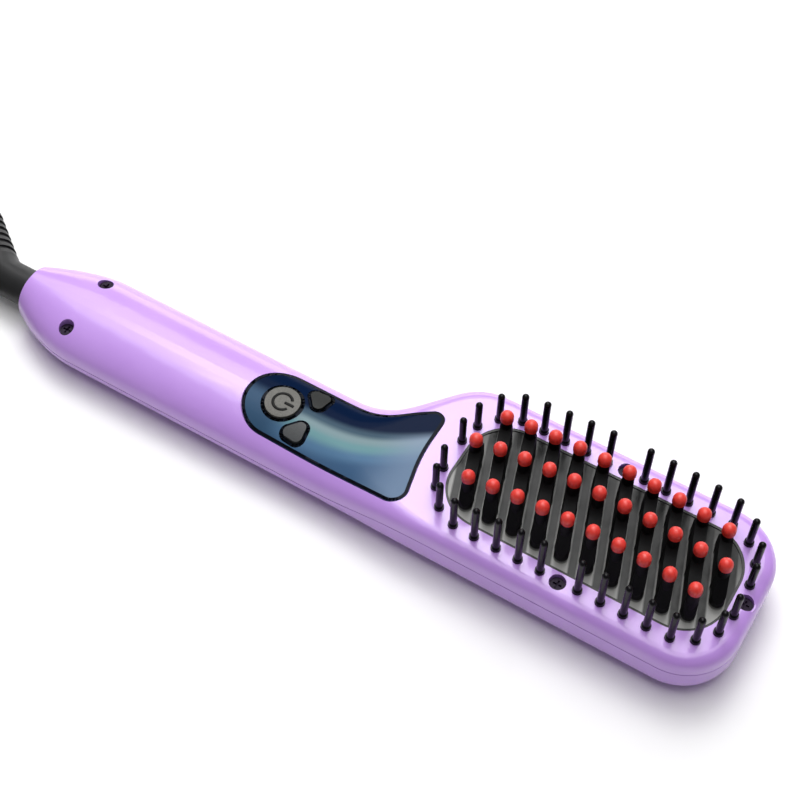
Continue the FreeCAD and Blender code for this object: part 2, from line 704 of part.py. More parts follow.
def rear_shell():
    """Lower half: flat back, bosses under the screws, posts for the board and the heat shield."""
    shell = OUTER.cut(INNER).cut(UPPER)
    bosses = [post(x, y, 0, HEAD_JOINT_Z, BOSS_RADIUS).common(OUTER) for x, y in HEAD_SCREWS]
    bosses += [post(x, y, 0, HANDLE_JOINT_Z, BOSS_RADIUS).common(OUTER) for x, y in HANDLE_SCREWS]
    bosses += [post(x, y, WALL / 2, BOARD_BOTTOM, BOARD_POST_RADIUS) for x, y in BOARD_POSTS]
    bosses += [post(x, y, WALL / 2, SHIELD_BOTTOM, BOARD_POST_RADIUS) for x, y in SHIELD_POSTS]
    bosses.append(hub_rib(OUTER).cut(UPPER))
    shell = shell.multiFuse(bosses)
    cuts = screw_cuts(HEAD_SCREWS, HEAD_SEAT_Z, -1.0)
    cuts += screw_cuts(HANDLE_SCREWS, HANDLE_SEAT_Z, -1.0)
    cuts += [post(x, y, BOARD_BOTTOM - 5, BOARD_TOP, SMALL_SCREW_RADIUS + TOUCH) for x, y in BOARD_POSTS]
    cuts.append(above_seam(SEAM_GAP).cut(UPPER).cut(body_solid(SEAM_DEPTH)))
    cuts.append(hub_cut())
    return shell.cut(cuts)


def screw_cuts(places, seat, shift):
    """Countersunk hole of each screw; a negative shift leaves only the pilot hole below the seat."""
    cuts = []
    for x, y in places:
        if shift < 0:
            cuts.append(post(x, y, seat - SCREW_LENGTH - PILOT_EXTRA, seat, SCREW_SHANK_RADIUS + TOUCH))
        else:
            cuts.append(post(x, y, seat, 2 * FACE_Z, SCREW_HEAD_RADIUS + SCREW_HOLE_CLEARANCE))
            cuts.append(post(x, y, 0, seat, SCREW_SHANK_RADIUS + SCREW_HOLE_CLEARANCE))
    return cuts


def hub_rib(region):
    """Wall across the rear end that keeps the hub's collar in its pocket."""
    wall = rod(HUB_POCKET_FRONT, HUB_POCKET_FRONT + RIB_WALL, HANDLE_Y, MID_Z, 2 * NOSE_END_RADIUS)
    return wall.common(OUTER).common(region)


def hub_cut():
    """Bearing bore, collar pocket and tail hole of the hub."""
    bore = rod(REAR_X - 1, HUB_POCKET_REAR + 1, HANDLE_Y, MID_Z, HUB_RADIUS + HUB_RUNNING_FIT)
    pocket = rod(HUB_POCKET_REAR, HUB_POCKET_FRONT, HANDLE_Y, MID_Z, COLLAR_RADIUS + HUB_SIDE_CLEARANCE)
    tail = rod(HUB_POCKET_FRONT - 1, HUB_POCKET_FRONT + RIB_WALL, HANDLE_Y, MID_Z,
               TAIL_RADIUS + HUB_SIDE_CLEARANCE)
    return bore.multiFuse([pocket, tail])


# Heating head

def heating_plate():
    """Black pad with slanted ribs; each rib is a scalloped web between conical teeth."""
    solids = [head_slab(PLATE_LENGTH, PLATE_WIDTH, PLATE_CORNER, PLATE_BOTTOM, PLATE_TOP)]
    for rib in rib_numbers():
        solids.append(rib_web(rib))
        for x, y, shoulder in tooth_places(rib):
            root = Vector(HEAD_X + x, y, PLATE_TOP - 0.5)
            solids.append(Part.makeCone(TOOTH_ROOT_RADIUS, TOOTH_TOP_RADIUS, shoulder - root.z, root, UP))
    plate = solids[0].multiFuse(solids[1:])
    holes = [post(x, y, PLATE_BOTTOM - 1, PLATE_TOP - 1.0, SMALL_SCREW_RADIUS + TOUCH) for x, y in CLAMP_SCREWS]
    return plate.cut(holes)


def rib_ends(rib):
    """Where the middle line of a rib meets the margin inside the plate's rounded edge, as two y values."""
    slope = -RIB_SLANT / ROW_PITCH
    step = 0.05
    ends = []
    for side in (-1, 1):
        y = 0.0
        while inside_plate(RIB_PITCH * rib + slope * y, y, RIB_END_MARGIN):
            y += side * step
        ends.append(y)
    return ends


def rib_web(rib):
    """The web of one rib: round-ended and tapering in thickness, its top dips between the teeth."""
    slope = -RIB_SLANT / ROW_PITCH
    near, far = rib_ends(rib)
    teeth = tooth_places(rib)
    base = PLATE_TOP - 0.5
    top = FACE_Z + TIP_HEIGHT
    along = Vector(slope, 1, 0).normalize()
    across = Vector(1, -slope, 0).normalize()

    def at(y, z):
        return Vector(HEAD_X + RIB_PITCH * rib + slope * y, y, z)

    def tooth_top(tooth):
        return at(tooth[1], tooth[2] - CAP_SKIRT)

    def end_height(tooth):
        return PLATE_TOP + RIB_END_SHARE * (tooth[2] - PLATE_TOP)

    def capsule(thickness, z):
        half = across * (thickness / 2)
        a = at(near, z)
        b = at(far, z)
        inner_a = a + along * (thickness / 2)
        inner_b = b - along * (thickness / 2)
        return Part.Wire([
            line(inner_a + half, inner_b + half), Part.Arc(inner_b + half, b, inner_b - half).toShape(),
            line(inner_b - half, inner_a - half), Part.Arc(inner_a - half, a, inner_a + half).toShape()])

    edges = [line(at(far, base), at(near, base)),
             line(at(near, base), at(near, end_height(teeth[0]))),
             line(at(near, end_height(teeth[0])), tooth_top(teeth[0]))]
    for one, two in zip(teeth, teeth[1:]):
        low = PLATE_TOP + VALLEY_SHARE * (min(one[2], two[2]) - PLATE_TOP)
        edges.append(Part.Arc(tooth_top(one), at((one[1] + two[1]) / 2, low), tooth_top(two)).toShape())
    edges.append(line(tooth_top(teeth[-1]), at(far, end_height(teeth[-1]))))
    edges.append(line(at(far, end_height(teeth[-1])), at(far, base)))
    side_view = Part.Face(Part.Wire(edges)).extrude(across * (2 * RIB_ROOT_THICKNESS))
    side_view.translate(across * -RIB_ROOT_THICKNESS)
    bar = Part.makeLoft([capsule(RIB_ROOT_THICKNESS, base), capsule(RIB_TOP_THICKNESS, top)], True, True)
    return side_view.common(bar)


def tip_caps():
    """Red silicone beads on the teeth: a short skirt with a domed top, one per tooth."""
    caps = []
    for rib in rib_numbers():
        for x, y, shoulder in tooth_places(rib):
            base = Vector(HEAD_X + x, y, shoulder)
            skirt = Part.makeCylinder(CAP_RADIUS, CAP_SKIRT, base, UP)
            dome = Part.makeSphere(CAP_RADIUS, base + UP * CAP_SKIRT, UP, 0, 90, 360)
            caps.append(skirt.fuse(dome))
    return Part.Compound(caps)


def plate_gasket():
    """Silicone ring that fills the gap between the plate and the shell's opening."""
    grow = GASKET_WIDTH - TOUCH
    outer = head_slab(PLATE_LENGTH + 2 * grow, PLATE_WIDTH + 2 * grow,
                      PLATE_CORNER + grow, PLATE_BOTTOM, FACE_Z - 0.1)
    inner = head_slab(PLATE_LENGTH + 2 * TOUCH, PLATE_WIDTH + 2 * TOUCH,
                      PLATE_CORNER + TOUCH, PLATE_BOTTOM - 1, FACE_Z + 1)
    return outer.cut(inner)


def guard_bristles():
    """Cool-touch pins round the plate, each with a foot trapped under the face."""
    pins = []
    for x, y in bristle_places():
        place = Vector(HEAD_X + x, y, PLATE_BOTTOM)
        top = FACE_Z + BRISTLE_HEIGHT - BRISTLE_FALL * (2 * x / BRISTLE_LINE_LENGTH) ** 2
        collar_top = FACE_Z + BRISTLE_COLLAR_HEIGHT
        length = top - BRISTLE_RADIUS - PLATE_BOTTOM
        foot = Part.makeCylinder(BRISTLE_FOOT_RADIUS, BRISTLE_FOOT_HEIGHT, place, UP)
        collar = Part.makeCylinder(BRISTLE_COLLAR_RADIUS, collar_top - PLATE_BOTTOM, place, UP)
        shaft = Part.makeCylinder(BRISTLE_RADIUS, length, place, UP)
        dome = Part.makeSphere(BRISTLE_RADIUS, place + UP * length, UP, 0, 90, 360)
        pins.append(foot.multiFuse([collar, shaft, dome]).removeSplitter())
    return Part.Compound(pins)


def bristle_retainer():
    """Frame that backs the bristle feet and carries the plate on its inner ledge."""
    side = HEAD_WIDTH - 2 * (WALL + RETAINER_CLEARANCE)
    length = HEAD_LENGTH - 2 * (WALL + RETAINER_END_GAP)
    outer = head_slab(length, side, HEAD_CORNER - WALL, RETAINER_BOTTOM, PLATE_BOTTOM)
    window = head_slab(PLATE_LENGTH - 2 * RETAINER_LEDGE, PLATE_WIDTH - 2 * RETAINER_LEDGE,
                       PLATE_CORNER - RETAINER_LEDGE, RETAINER_BOTTOM - 1, PLATE_BOTTOM + 1)
    cuts = [window]
    cuts += [post(x, y, 0, FACE_Z, BOSS_RADIUS + RETAINER_CLEARANCE) for x, y in HEAD_SCREWS]
    cuts += [post(x, y, 0, FACE_Z, SMALL_SCREW_RADIUS + TOUCH) for x, y in RETAINER_SCREWS]
    return outer.cut(cuts)


def heater_element():
    """Flat ceramic heater that lies against the back of the plate."""
    return head_slab(HEATER_LENGTH, HEATER_WIDTH, HEATER_CORNER, HEATER_BOTTOM, PLATE_BOTTOM)


def heater_clamp():
    """Steel plate that presses the heater to the plate."""
    sheet = head_slab(CLAMP_LENGTH, CLAMP_WIDTH, CLAMP_CORNER, CLAMP_BOTTOM, HEATER_BOTTOM)
    holes = [post(x, y, 0, FACE_Z, SMALL_SCREW_RADIUS + TOUCH) for x, y in CLAMP_SCREWS]
    length, width = CLAMP_SLOT
    holes.append(head_slab(length, width, 0.48 * width, 0, FACE_Z))
    notch = LEAD_SIDE + LEAD_RADIUS + CLAMP_NOTCH_GAP
    rear = HEAD_X - CLAMP_LENGTH / 2
    holes.append(box(rear - 1, HEAD_X - HEATER_LENGTH / 2, -notch, notch, 0, FACE_Z))
    return sheet.cut(holes)


def screw_group(places, seat, head_radius, head_height, radius, length, up):
    """Screws of one kind: the head stands on the seat, above it or, pointing up, below it."""
    screws = []
    for x, y in places:
        if up:
            head = post(x, y, seat - head_height, seat, head_radius)
            shank = post(x, y, seat, seat + length, radius)
        else:
            head = post(x, y, seat, seat + head_height, head_radius)
            shank = post(x, y, seat - length, seat, radius)
            arm = SCREW_SLOT_SHARE * head_radius
            top = seat + head_height
            for a, b in ((arm, SCREW_SLOT_HALF), (SCREW_SLOT_HALF, arm)):
                head = head.cut(box(x - a, x + a, y - b, y + b, top - SCREW_SLOT_DEPTH, top))
        screws.append(head.fuse(shank))
    return Part.Compound(screws)


def heat_shield():
    """Mica sheet between the heater and the back of the head."""
    return head_slab(SHIELD_LENGTH, SHIELD_WIDTH, SHIELD_CORNER, SHIELD_BOTTOM, SHIELD_TOP)


def temperature_sensor():
    """Bead thermistor lying under the clamp, with its glass sleeve."""
    z = CLAMP_BOTTOM - SENSOR_RADIUS - TOUCH
    end = HEAD_X + SENSOR_AHEAD
    bead = Part.makeSphere(SENSOR_RADIUS, Vector(end, -SENSOR_SIDE, z))
    return bead.fuse(rod(end - SENSOR_LENGTH, end, -SENSOR_SIDE, z, SENSOR_SLEEVE_RADIUS))


def thermal_fuse():
    """Cut-out in line with the heater, lying under the clamp."""
    z = CLAMP_BOTTOM - FUSE_RADIUS - TOUCH
    start = HEAD_X - FUSE_BACK
    body = rod(start, start + FUSE_LENGTH, SENSOR_SIDE, z, FUSE_RADIUS)
    wire = rod(start - FUSE_WIRE, start + FUSE_LENGTH + FUSE_WIRE, SENSOR_SIDE, z, FUSE_WIRE_RADIUS)
    return body.fuse(wire)


# Panel, buttons and board

def control_panel():
    """Dark gloss window set flush in the handle, with holes for the buttons."""
    plate = panel_prism(0.0, MID_Z, 2 * FACE_Z).common(OUTER).cut(body_solid(PANEL_THICKNESS))
    return plate.cut([prism(BUTTON_GAP, 0, 2 * FACE_Z) for prism, x, y in BUTTONS.values()])


def button(name):
    """A button cap that follows the panel's crown, with a lip under it and a stem to its switch."""
    prism, x, y = BUTTONS[name]
    cap = prism(0.0, LIP_BOTTOM, 2 * FACE_Z).common(PROUD)
    lip = prism(BUTTON_LIP, LIP_BOTTOM, LIP_TOP)
    return cap.multiFuse([lip, post(x, y, PLUNGER_TOP, LIP_BOTTOM + 0.2, STEM_RADIUS)]).removeSplitter()


PROUD = body_solid(-BUTTON_PROUD)


def plunger(name):
    prism, x, y = BUTTONS[name]
    return post(x, y, PLUNGER_TOP - PLUNGER_HEIGHT, PLUNGER_TOP, PLUNGER_RADIUS)


def tact_switches():
    """Three press switches on the board, each open at the top for its plunger."""
    half = SWITCH_SIZE / 2
    cases = []
    for prism, x, y in BUTTONS.values():
        case = box(x - half, x + half, y - half, y + half, BOARD_TOP, SWITCH_TOP)
        floor = PLUNGER_TOP - PLUNGER_HEIGHT - BUTTON_TRAVEL - 0.2
        cases.append(case.cut(post(x, y, floor, SWITCH_TOP + 1, PLUNGER_RADIUS + PLUNGER_CLEARANCE)))
    return Part.Compound(cases)


def control_board():
    half = BOARD_WIDTH / 2
    board = box(BOARD_REAR_X, BOARD_FRONT_X, HANDLE_Y - half, HANDLE_Y + half, BOARD_BOTTOM, BOARD_TOP)
    return board.cut([post(x, y, 0, FACE_Z, SMALL_SCREW_RADIUS + TOUCH) for x, y in BOARD_POSTS])


DISPLAY_FRONT_X = BOARD_FRONT_X - 2 * BOARD_POST_INSET - DISPLAY_GAP
DISPLAY_REAR_X = DISPLAY_FRONT_X - DISPLAY_LENGTH


def display_backlight():
    half = DISPLAY_WIDTH / 2
    return box(DISPLAY_REAR_X, DISPLAY_FRONT_X, HANDLE_Y - half, HANDLE_Y + half,
               BOARD_TOP, BOARD_TOP + BACKLIGHT_HEIGHT)


def display_glass():
    """Two sheets of glass; the lower one reaches further back for its contacts."""
    half = DISPLAY_WIDTH / 2 - DISPLAY_GAP
    rear = DISPLAY_REAR_X + DISPLAY_GAP
    front = DISPLAY_FRONT_X - DISPLAY_GAP
    low = BOARD_TOP + BACKLIGHT_HEIGHT
    mid = low + GLASS_HEIGHT / 2
    lower = box(rear, front, HANDLE_Y - half, HANDLE_Y + half, low, mid)
    upper = box(rear + DISPLAY_LEDGE, front, HANDLE_Y - half, HANDLE_Y + half, mid, low + GLASS_HEIGHT)
    return lower.fuse(upper).removeSplitter()


def film_capacitor():
    length, width, height = CAPACITOR_SIZE
    x = BOARD_FRONT_X - CAPACITOR_INSET - length
    return box(x, x + length, HANDLE_Y - width, HANDLE_Y, BOARD_BOTTOM - height, BOARD_BOTTOM)


def triac():
    """Power switch with its metal tab lying under the board."""
    length, width, height = TRIAC_SIZE
    half = width / 2
    x = BOARD_REAR_X + TRIAC_INSET
    end = x + length + TRIAC_TAB
    body = box(x, x + length, HANDLE_Y - half, HANDLE_Y + half, BOARD_BOTTOM - height, BOARD_BOTTOM)
    tab = box(x + length, end, HANDLE_Y - half, HANDLE_Y + half,
              BOARD_BOTTOM - TRIAC_TAB_THICKNESS, BOARD_BOTTOM)
    return body.fuse(tab.cut(post(end - TRIAC_TAB / 2, HANDLE_Y, 0, FACE_Z, TRIAC_HOLE_RADIUS)))


def fuse_link():
    """Glass fuse with two end caps, lying along the underside of the board."""
    x = BOARD_REAR_X + LINK_INSET
    z = BOARD_BOTTOM - LINK_RADIUS - TOUCH
    y = HANDLE_Y + LEAD_SIDE - LEAD_RADIUS
    end = x + LINK_LENGTH
    glass = rod(x, end, y, z, 0.85 * LINK_RADIUS)
    return glass.multiFuse([rod(x, x + LINK_CAP, y, z, LINK_RADIUS), rod(end - LINK_CAP, end, y, z, LINK_RADIUS)])


def controller_chip():
    length, width, height = CHIP_SIZE
    x = BOARD_FRONT_X - CHIP_INSET - length
    half = width / 2
    return box(x, x + length, HANDLE_Y - half, HANDLE_Y + half, BOARD_BOTTOM - height, BOARD_BOTTOM)


def heater_leads():
    """Two sleeved wires from the heater's end to the front edge of the board."""
    leads = []
    start_x = HEAD_X - HEATER_LENGTH / 2 - TOUCH
    end_x = BOARD_FRONT_X + TOUCH
    start_z = HEATER_BOTTOM + LEAD_RADIUS + TOUCH
    end_z = (BOARD_TOP + BOARD_BOTTOM) / 2
    for side in (-1, 1):
        start_y = LEAD_SIDE * side
        end_y = HANDLE_Y + LEAD_SIDE * side
        leads.append(tube([Vector(start_x, start_y, start_z), Vector(start_x - LEAD_STRAIGHT, start_y, start_z),
                           Vector(start_x - LEAD_DIP_REACH, start_y, start_z - LEAD_DIP),
                           Vector(end_x + LEAD_ENTRY, end_y, end_z), Vector(end_x, end_y, end_z)], LEAD_RADIUS))
    return Part.Compound(leads)


def supply_leads():
    """Two wires from the sliding contacts to the rear edge of the board."""
    leads = []
    start_x = CONTACT_FRONT_X + TOUCH
    end_x = BOARD_REAR_X - TOUCH
    span = end_x - start_x
    start_z = CONTACT_TOP - LEAD_RADIUS
    end_z = (BOARD_TOP + BOARD_BOTTOM) / 2
    for side in (-1, 1):
        y = HANDLE_Y + LEAD_SIDE * side
        wide_y = y + LEAD_SPREAD * side
        leads.append(tube([Vector(start_x, y, start_z), Vector(start_x + 0.17 * span, y, start_z),
                           Vector(start_x + 0.36 * span, wide_y, start_z + 1.0),
                           Vector(start_x + 0.64 * span, wide_y, end_z - 1.0),
                           Vector(start_x + 0.83 * span, y, end_z), Vector(end_x, y, end_z)], LEAD_RADIUS))
    return Part.Compound(leads)


# Swivel and cord

HUB_FRONT_X = HUB_POCKET_FRONT - COLLAR_CLEARANCE + TAIL_LENGTH
RING_X = [HUB_FRONT_X - RING_END - RING_WIDTH - RING_SPACING, HUB_FRONT_X - RING_END - RING_WIDTH]
RING_RADIUS = TAIL_RADIUS + RING_THICKNESS
CONTACT_TOP = MID_Z - RING_RADIUS - RING_TOUCH - SPRING_THICKNESS
CONTACT_REAR_X = HUB_POCKET_FRONT + RIB_WALL
CONTACT_FRONT_X = HUB_FRONT_X + CONTACT_AHEAD


def swivel_hub():
    """Turning outlet: journal in the end wall, collar in the pocket, tail with the slip rings."""
    collar_rear = HUB_POCKET_REAR + COLLAR_CLEARANCE
    collar_front = collar_rear + COLLAR_LENGTH
    journal = rod(REAR_X, collar_rear, HANDLE_Y, MID_Z, HUB_RADIUS)
    collar = rod(collar_rear, collar_front, HANDLE_Y, MID_Z, COLLAR_RADIUS)
    tail = rod(collar_front, HUB_FRONT_X, HANDLE_Y, MID_Z, TAIL_RADIUS)
    return journal.multiFuse([collar, tail])


def slip_rings():
    rings = []
    for x in RING_X:
        ring = rod(x, x + RING_WIDTH, HANDLE_Y, MID_Z, RING_RADIUS)
        rings.append(ring.cut(rod(x - 1, x + RING_WIDTH + 1, HANDLE_Y, MID_Z, TAIL_RADIUS + TOUCH)))
    return Part.Compound(rings)


def contact_block():
    """Moulded block on the back shell that carries the two sliding contacts."""
    half = CONTACT_WIDTH / 2
    block = box(CONTACT_REAR_X, CONTACT_FRONT_X, HANDLE_Y - half, HANDLE_Y + half, 0, CONTACT_TOP)
    return block.common(INNER)


def contact_springs():
    half = SPRING_LENGTH / 2
    springs = []
    for x in RING_X:
        springs.append(box(x + SPRING_INSET, x + RING_WIDTH - SPRING_INSET, HANDLE_Y - half, HANDLE_Y + half,
                           CONTACT_TOP, CONTACT_TOP + SPRING_THICKNESS))
    return Part.Compound(springs)


BOOT_START = Vector(REAR_X - BOOT_GAP, HANDLE_Y, MID_Z)
BOOT_HEADING = Vector(-math.cos(math.radians(BOOT_TURN)), math.sin(math.radians(BOOT_TURN)), 0)
BOOT_BEND_END = BOOT_START + Vector(-BOOT_STRAIGHT - BOOT_BEND_RADIUS * math.sin(math.radians(BOOT_TURN)),
                                    BOOT_BEND_RADIUS * (1 - math.cos(math.radians(BOOT_TURN))), 0)
BOOT_END = BOOT_BEND_END + BOOT_HEADING * BOOT_TAPER_LENGTH


def strain_relief():
    """Moulded boot: smooth elbow, then a tapering tail with grooves that let it flex."""
    bend_start = BOOT_START + Vector(-BOOT_STRAIGHT, 0, 0)
    half = math.radians(BOOT_TURN / 2)
    bend_middle = bend_start + Vector(-math.sin(half), 1 - math.cos(half), 0) * BOOT_BEND_RADIUS
    elbow = sweep([line(BOOT_START, bend_start), Part.Arc(bend_start, bend_middle, BOOT_BEND_END).toShape()],
                  BOOT_RADIUS)
    pitch = BOOT_TAPER_LENGTH / BOOT_RIBS
    outline = [Vector(0, 0, 0), Vector(0, BOOT_RADIUS, 0)]
    for k in range(BOOT_RIBS):
        radius = BOOT_RADIUS + (BOOT_END_RADIUS - BOOT_RADIUS) * (k + 1) / BOOT_RIBS
        x = pitch * k
        outline += [Vector(x + pitch * 0.55, radius, 0), Vector(x + pitch * 0.55, radius - BOOT_GROOVE, 0)]
        if k < BOOT_RIBS - 1:
            outline += [Vector(x + pitch, radius - BOOT_GROOVE, 0), Vector(x + pitch, radius, 0)]
    outline += [Vector(BOOT_TAPER_LENGTH, BOOT_END_RADIUS - BOOT_GROOVE, 0), Vector(BOOT_TAPER_LENGTH, 0, 0)]
    profile = Part.Face(Part.makePolygon(outline + outline[:1]))
    tail = profile.revolve(Vector(0, 0, 0), ALONG, 360)
    tail.rotate(Vector(0, 0, 0), UP, 180 - BOOT_TURN)
    tail.translate(BOOT_BEND_END)
    spigot = rod(BOOT_START.x, REAR_X, HANDLE_Y, MID_Z, HUB_RADIUS)
    return elbow.multiFuse([tail, spigot])


COIL_Z = CORD_RADIUS + COIL_LIFT
COIL_START = math.radians(90 - BOOT_TURN)
COIL_ENTRY = BOOT_END + BOOT_HEADING * COIL_LEAD - UP * (BOOT_END.z - COIL_Z)
COIL_CENTRE = COIL_ENTRY - Vector(math.cos(COIL_START), math.sin(COIL_START), 0) * COIL_RADIUS - UP * COIL_Z
COIL_TURNS = 2 * COIL_TURNS_PER_LAYER + COIL_CLIMB + BOOT_TURN / 360


def coil_state(turn):
    """Radius and height of the coil's centre line after a number of turns."""
    inner = COIL_RADIUS - COIL_PITCH * COIL_TURNS_PER_LAYER
    if turn <= COIL_TURNS_PER_LAYER:
        return COIL_RADIUS - COIL_PITCH * turn, COIL_Z
    if turn >= COIL_TURNS_PER_LAYER + COIL_CLIMB:
        return inner + COIL_PITCH * (turn - COIL_TURNS_PER_LAYER - COIL_CLIMB), COIL_Z + COIL_PITCH
    climb = (turn - COIL_TURNS_PER_LAYER) / COIL_CLIMB
    dip = COIL_PITCH * COIL_CLIMB / math.pi * math.sin(math.pi * climb)
    return inner - dip, COIL_Z + COIL_PITCH * climb * climb * (3 - 2 * climb)


def coil_point(turn):
    radius, z = coil_state(turn)
    angle = COIL_START + 2 * math.pi * turn
    return Vector(COIL_CENTRE.x + radius * math.cos(angle), COIL_CENTRE.y + radius * math.sin(angle), z)


def coil_heading(turn):
    """Tangent of the centre line; both ends run square to what they meet."""
    if turn <= 0 or turn >= COIL_TURNS:
        angle = COIL_START + 2 * math.pi * turn
        return Vector(-math.sin(angle), math.cos(angle), 0)
    step = 0.002
    return (coil_point(turn + step) - coil_point(turn - step)).normalize()


def biarc(start, start_heading, end, end_heading):
    """Two tangent arcs from one point and heading to another."""
    chord = end - start
    total = start_heading + end_heading
    a = 2 * (start_heading.dot(end_heading) - 1)
    b = -2 * chord.dot(total)
    c = chord.dot(chord)
    reach = -c / b if abs(a) < 1e-9 else (-b - math.sqrt(b * b - 4 * a * c)) / (2 * a)
    first = start + start_heading * reach
    second = end - end_heading * reach
    joint = (first + second) * 0.5
    edges = []
    for p, corner, q in ((start, first, joint), (joint, second, end)):
        middle = (p + q) * 0.5
        half = (corner - p).getAngle(q - p)
        share = math.tan(half / 2) / math.tan(half)
        edges.append(Part.Arc(p, middle + (corner - middle) * share, q).toShape())
    return edges


COIL_END = coil_point(COIL_TURNS)
TAIL_START = COIL_END + ALONG * TAIL_STRAIGHT
PLUG_START = TAIL_START + Vector(TAIL_BEND, TAIL_SHIFT, 0)


def run_edges():
    """Down from the boot to the table in one gentle double bend."""
    return biarc(BOOT_END, BOOT_HEADING, COIL_ENTRY, BOOT_HEADING)


def coil_edges():
    """All the turns by quarters, then a short tail that bends in to the plug."""
    marks = [k / 4 for k in range(int(COIL_TURNS * 4) + 1)] + [COIL_TURNS]
    edges = []
    for a, b in zip(marks, marks[1:]):
        edges += biarc(coil_point(a), coil_heading(a), coil_point(b), coil_heading(b))
    edges.append(line(COIL_END, TAIL_START))
    return edges + biarc(TAIL_START, ALONG, PLUG_START, ALONG)


def coil_gap():
    """Least gap between two turns of the coil, on points of its centre line."""
    count = int(COIL_TURNS * 72)
    points = [coil_point(COIL_TURNS * k / count) for k in range(count + 1)]
    least = 1e9
    for k, p in enumerate(points):
        for q in points[k + 36:]:
            least = min(least, (p - q).Length)
    return least - 2 * CORD_RADIUS


def cord_run():
    return sweep(run_edges(), CORD_RADIUS)


def cord_coil():
    return sweep(coil_edges(), CORD_RADIUS)


def cord_tie():
    """Strap round all the turns at one side of the coil."""
    inner = COIL_RADIUS - COIL_PITCH * COIL_TURNS_PER_LAYER
    gap = CORD_RADIUS + TIE_CLEARANCE
    near = COIL_CENTRE.x - COIL_RADIUS - gap
    far = COIL_CENTRE.x - inner + gap
    low = COIL_Z - gap
    high = COIL_Z + COIL_PITCH + gap
    half = TIE_WIDTH / 2
    y = COIL_CENTRE.y
    t = TIE_THICKNESS
    band = box(near - t, far + t, y - half, y + half, low - t, high + t)
    upright = [edge for edge in band.Edges if abs(edge.tangentAt(edge.FirstParameter).y) > 0.9]
    hole = box(near, far, y - half - 1, y + half + 1, low, high)
    return band.makeFillet(CORD_RADIUS * 0.6, upright).cut(hole)


def plug_section(x, half_width, half_height, corner):
    y = PLUG_START.y
    z = PLUG_START.z
    return section_wire(x, y - half_width, y + half_width, z - half_height, z + half_height,
                        (corner, corner), (corner, corner))


def plug_body():
    """Moulded two-pin plug: a grip that swells from the cord to a rounded block."""
    high = PLUG_START.z
    x = PLUG_START.x
    mid = x + PLUG_GRIP_LENGTH
    half = PLUG_WIDTH / 2
    neck = plug_section(x, PLUG_NECK_HALF, PLUG_NECK_HALF, PLUG_NECK_CORNER)
    shoulder = plug_section(mid, half, high, PLUG_CORNER)
    grip = Part.makeLoft([neck, shoulder], True)
    block = Part.Face(shoulder).extrude(Vector(PLUG_BODY_LENGTH, 0, 0))
    return grip.fuse(block).removeSplitter()


def plug_pins():
    x = PLUG_START.x + PLUG_GRIP_LENGTH + PLUG_BODY_LENGTH
    pins = []
    for side in (-1, 1):
        y = PLUG_START.y + side * PLUG_PIN_SPACING / 2
        pin = rod(x, x + PLUG_PIN_LENGTH, y, PLUG_START.z, PLUG_PIN_RADIUS)
        tip = [edge for edge in pin.Edges if edge.CenterOfMass.x > x + PLUG_PIN_LENGTH - 0.1]
        pins.append(pin.makeFillet(PLUG_PIN_RADIUS * 0.6, tip))
    return Part.Compound(pins)


SCREW_SHAPE = (SCREW_HEAD_RADIUS, SCREW_HEAD_HEIGHT, SCREW_SHANK_RADIUS, SCREW_LENGTH)
SMALL_SHAPE = (SMALL_SCREW_HEAD_RADIUS, SMALL_SCREW_HEAD_HEIGHT, SMALL_SCREW_RADIUS)

pieces = {
    "front_shell": front_shell(),
    "rear_shell": rear_shell(),
    "heating_plate": heating_plate(),
    "tip_caps": tip_caps(),
    "plate_gasket": plate_gasket(),
    "guard_bristles": guard_bristles(),
    "bristle_retainer": bristle_retainer(),
    "retainer_screws": screw_group(RETAINER_SCREWS, RETAINER_BOTTOM, *SMALL_SHAPE, RETAINER_SCREW_LENGTH, True),
    "heater_element": heater_element(),
    "heater_clamp": heater_clamp(),
    "clamp_screws": screw_group(CLAMP_SCREWS, CLAMP_BOTTOM, *SMALL_SHAPE, CLAMP_SCREW_LENGTH, True),
    "heat_shield": heat_shield(),
    "temperature_sensor": temperature_sensor(),
    "thermal_fuse": thermal_fuse(),
    "head_screws": screw_group(HEAD_SCREWS, HEAD_SEAT_Z, *SCREW_SHAPE, False),
    "handle_screws": screw_group(HANDLE_SCREWS, HANDLE_SEAT_Z, *SCREW_SHAPE, False),
    "control_panel": control_panel(),
    "power_button": button("power_button"),
    "lower_button": button("lower_button"),
    "raise_button": button("raise_button"),
    "power_plunger": plunger("power_button"),
    "lower_plunger": plunger("lower_button"),
    "raise_plunger": plunger("raise_button"),
    "tact_switches": tact_switches(),
    "control_board": control_board(),
    "board_screws": screw_group(BOARD_POSTS, BOARD_TOP, *SMALL_SHAPE, BOARD_SCREW_LENGTH, False),
    "display_backlight": display_backlight(),
    "display_glass": display_glass(),
    "controller_chip": controller_chip(),
    "film_capacitor": film_capacitor(),
    "triac": triac(),
    "fuse_link": fuse_link(),
    "heater_leads": heater_leads(),
    "supply_leads": supply_leads(),
    "contact_block": contact_block(),
    "contact_springs": contact_springs(),
    "swivel_hub": swivel_hub(),
    "slip_rings": slip_rings(),
    "strain_relief": strain_relief(),
    "cord_run": cord_run(),
    "cord_coil": cord_coil(),
    "cord_tie": cord_tie(),
    "plug_body": plug_body(),
    "plug_pins": plug_pins(),
}

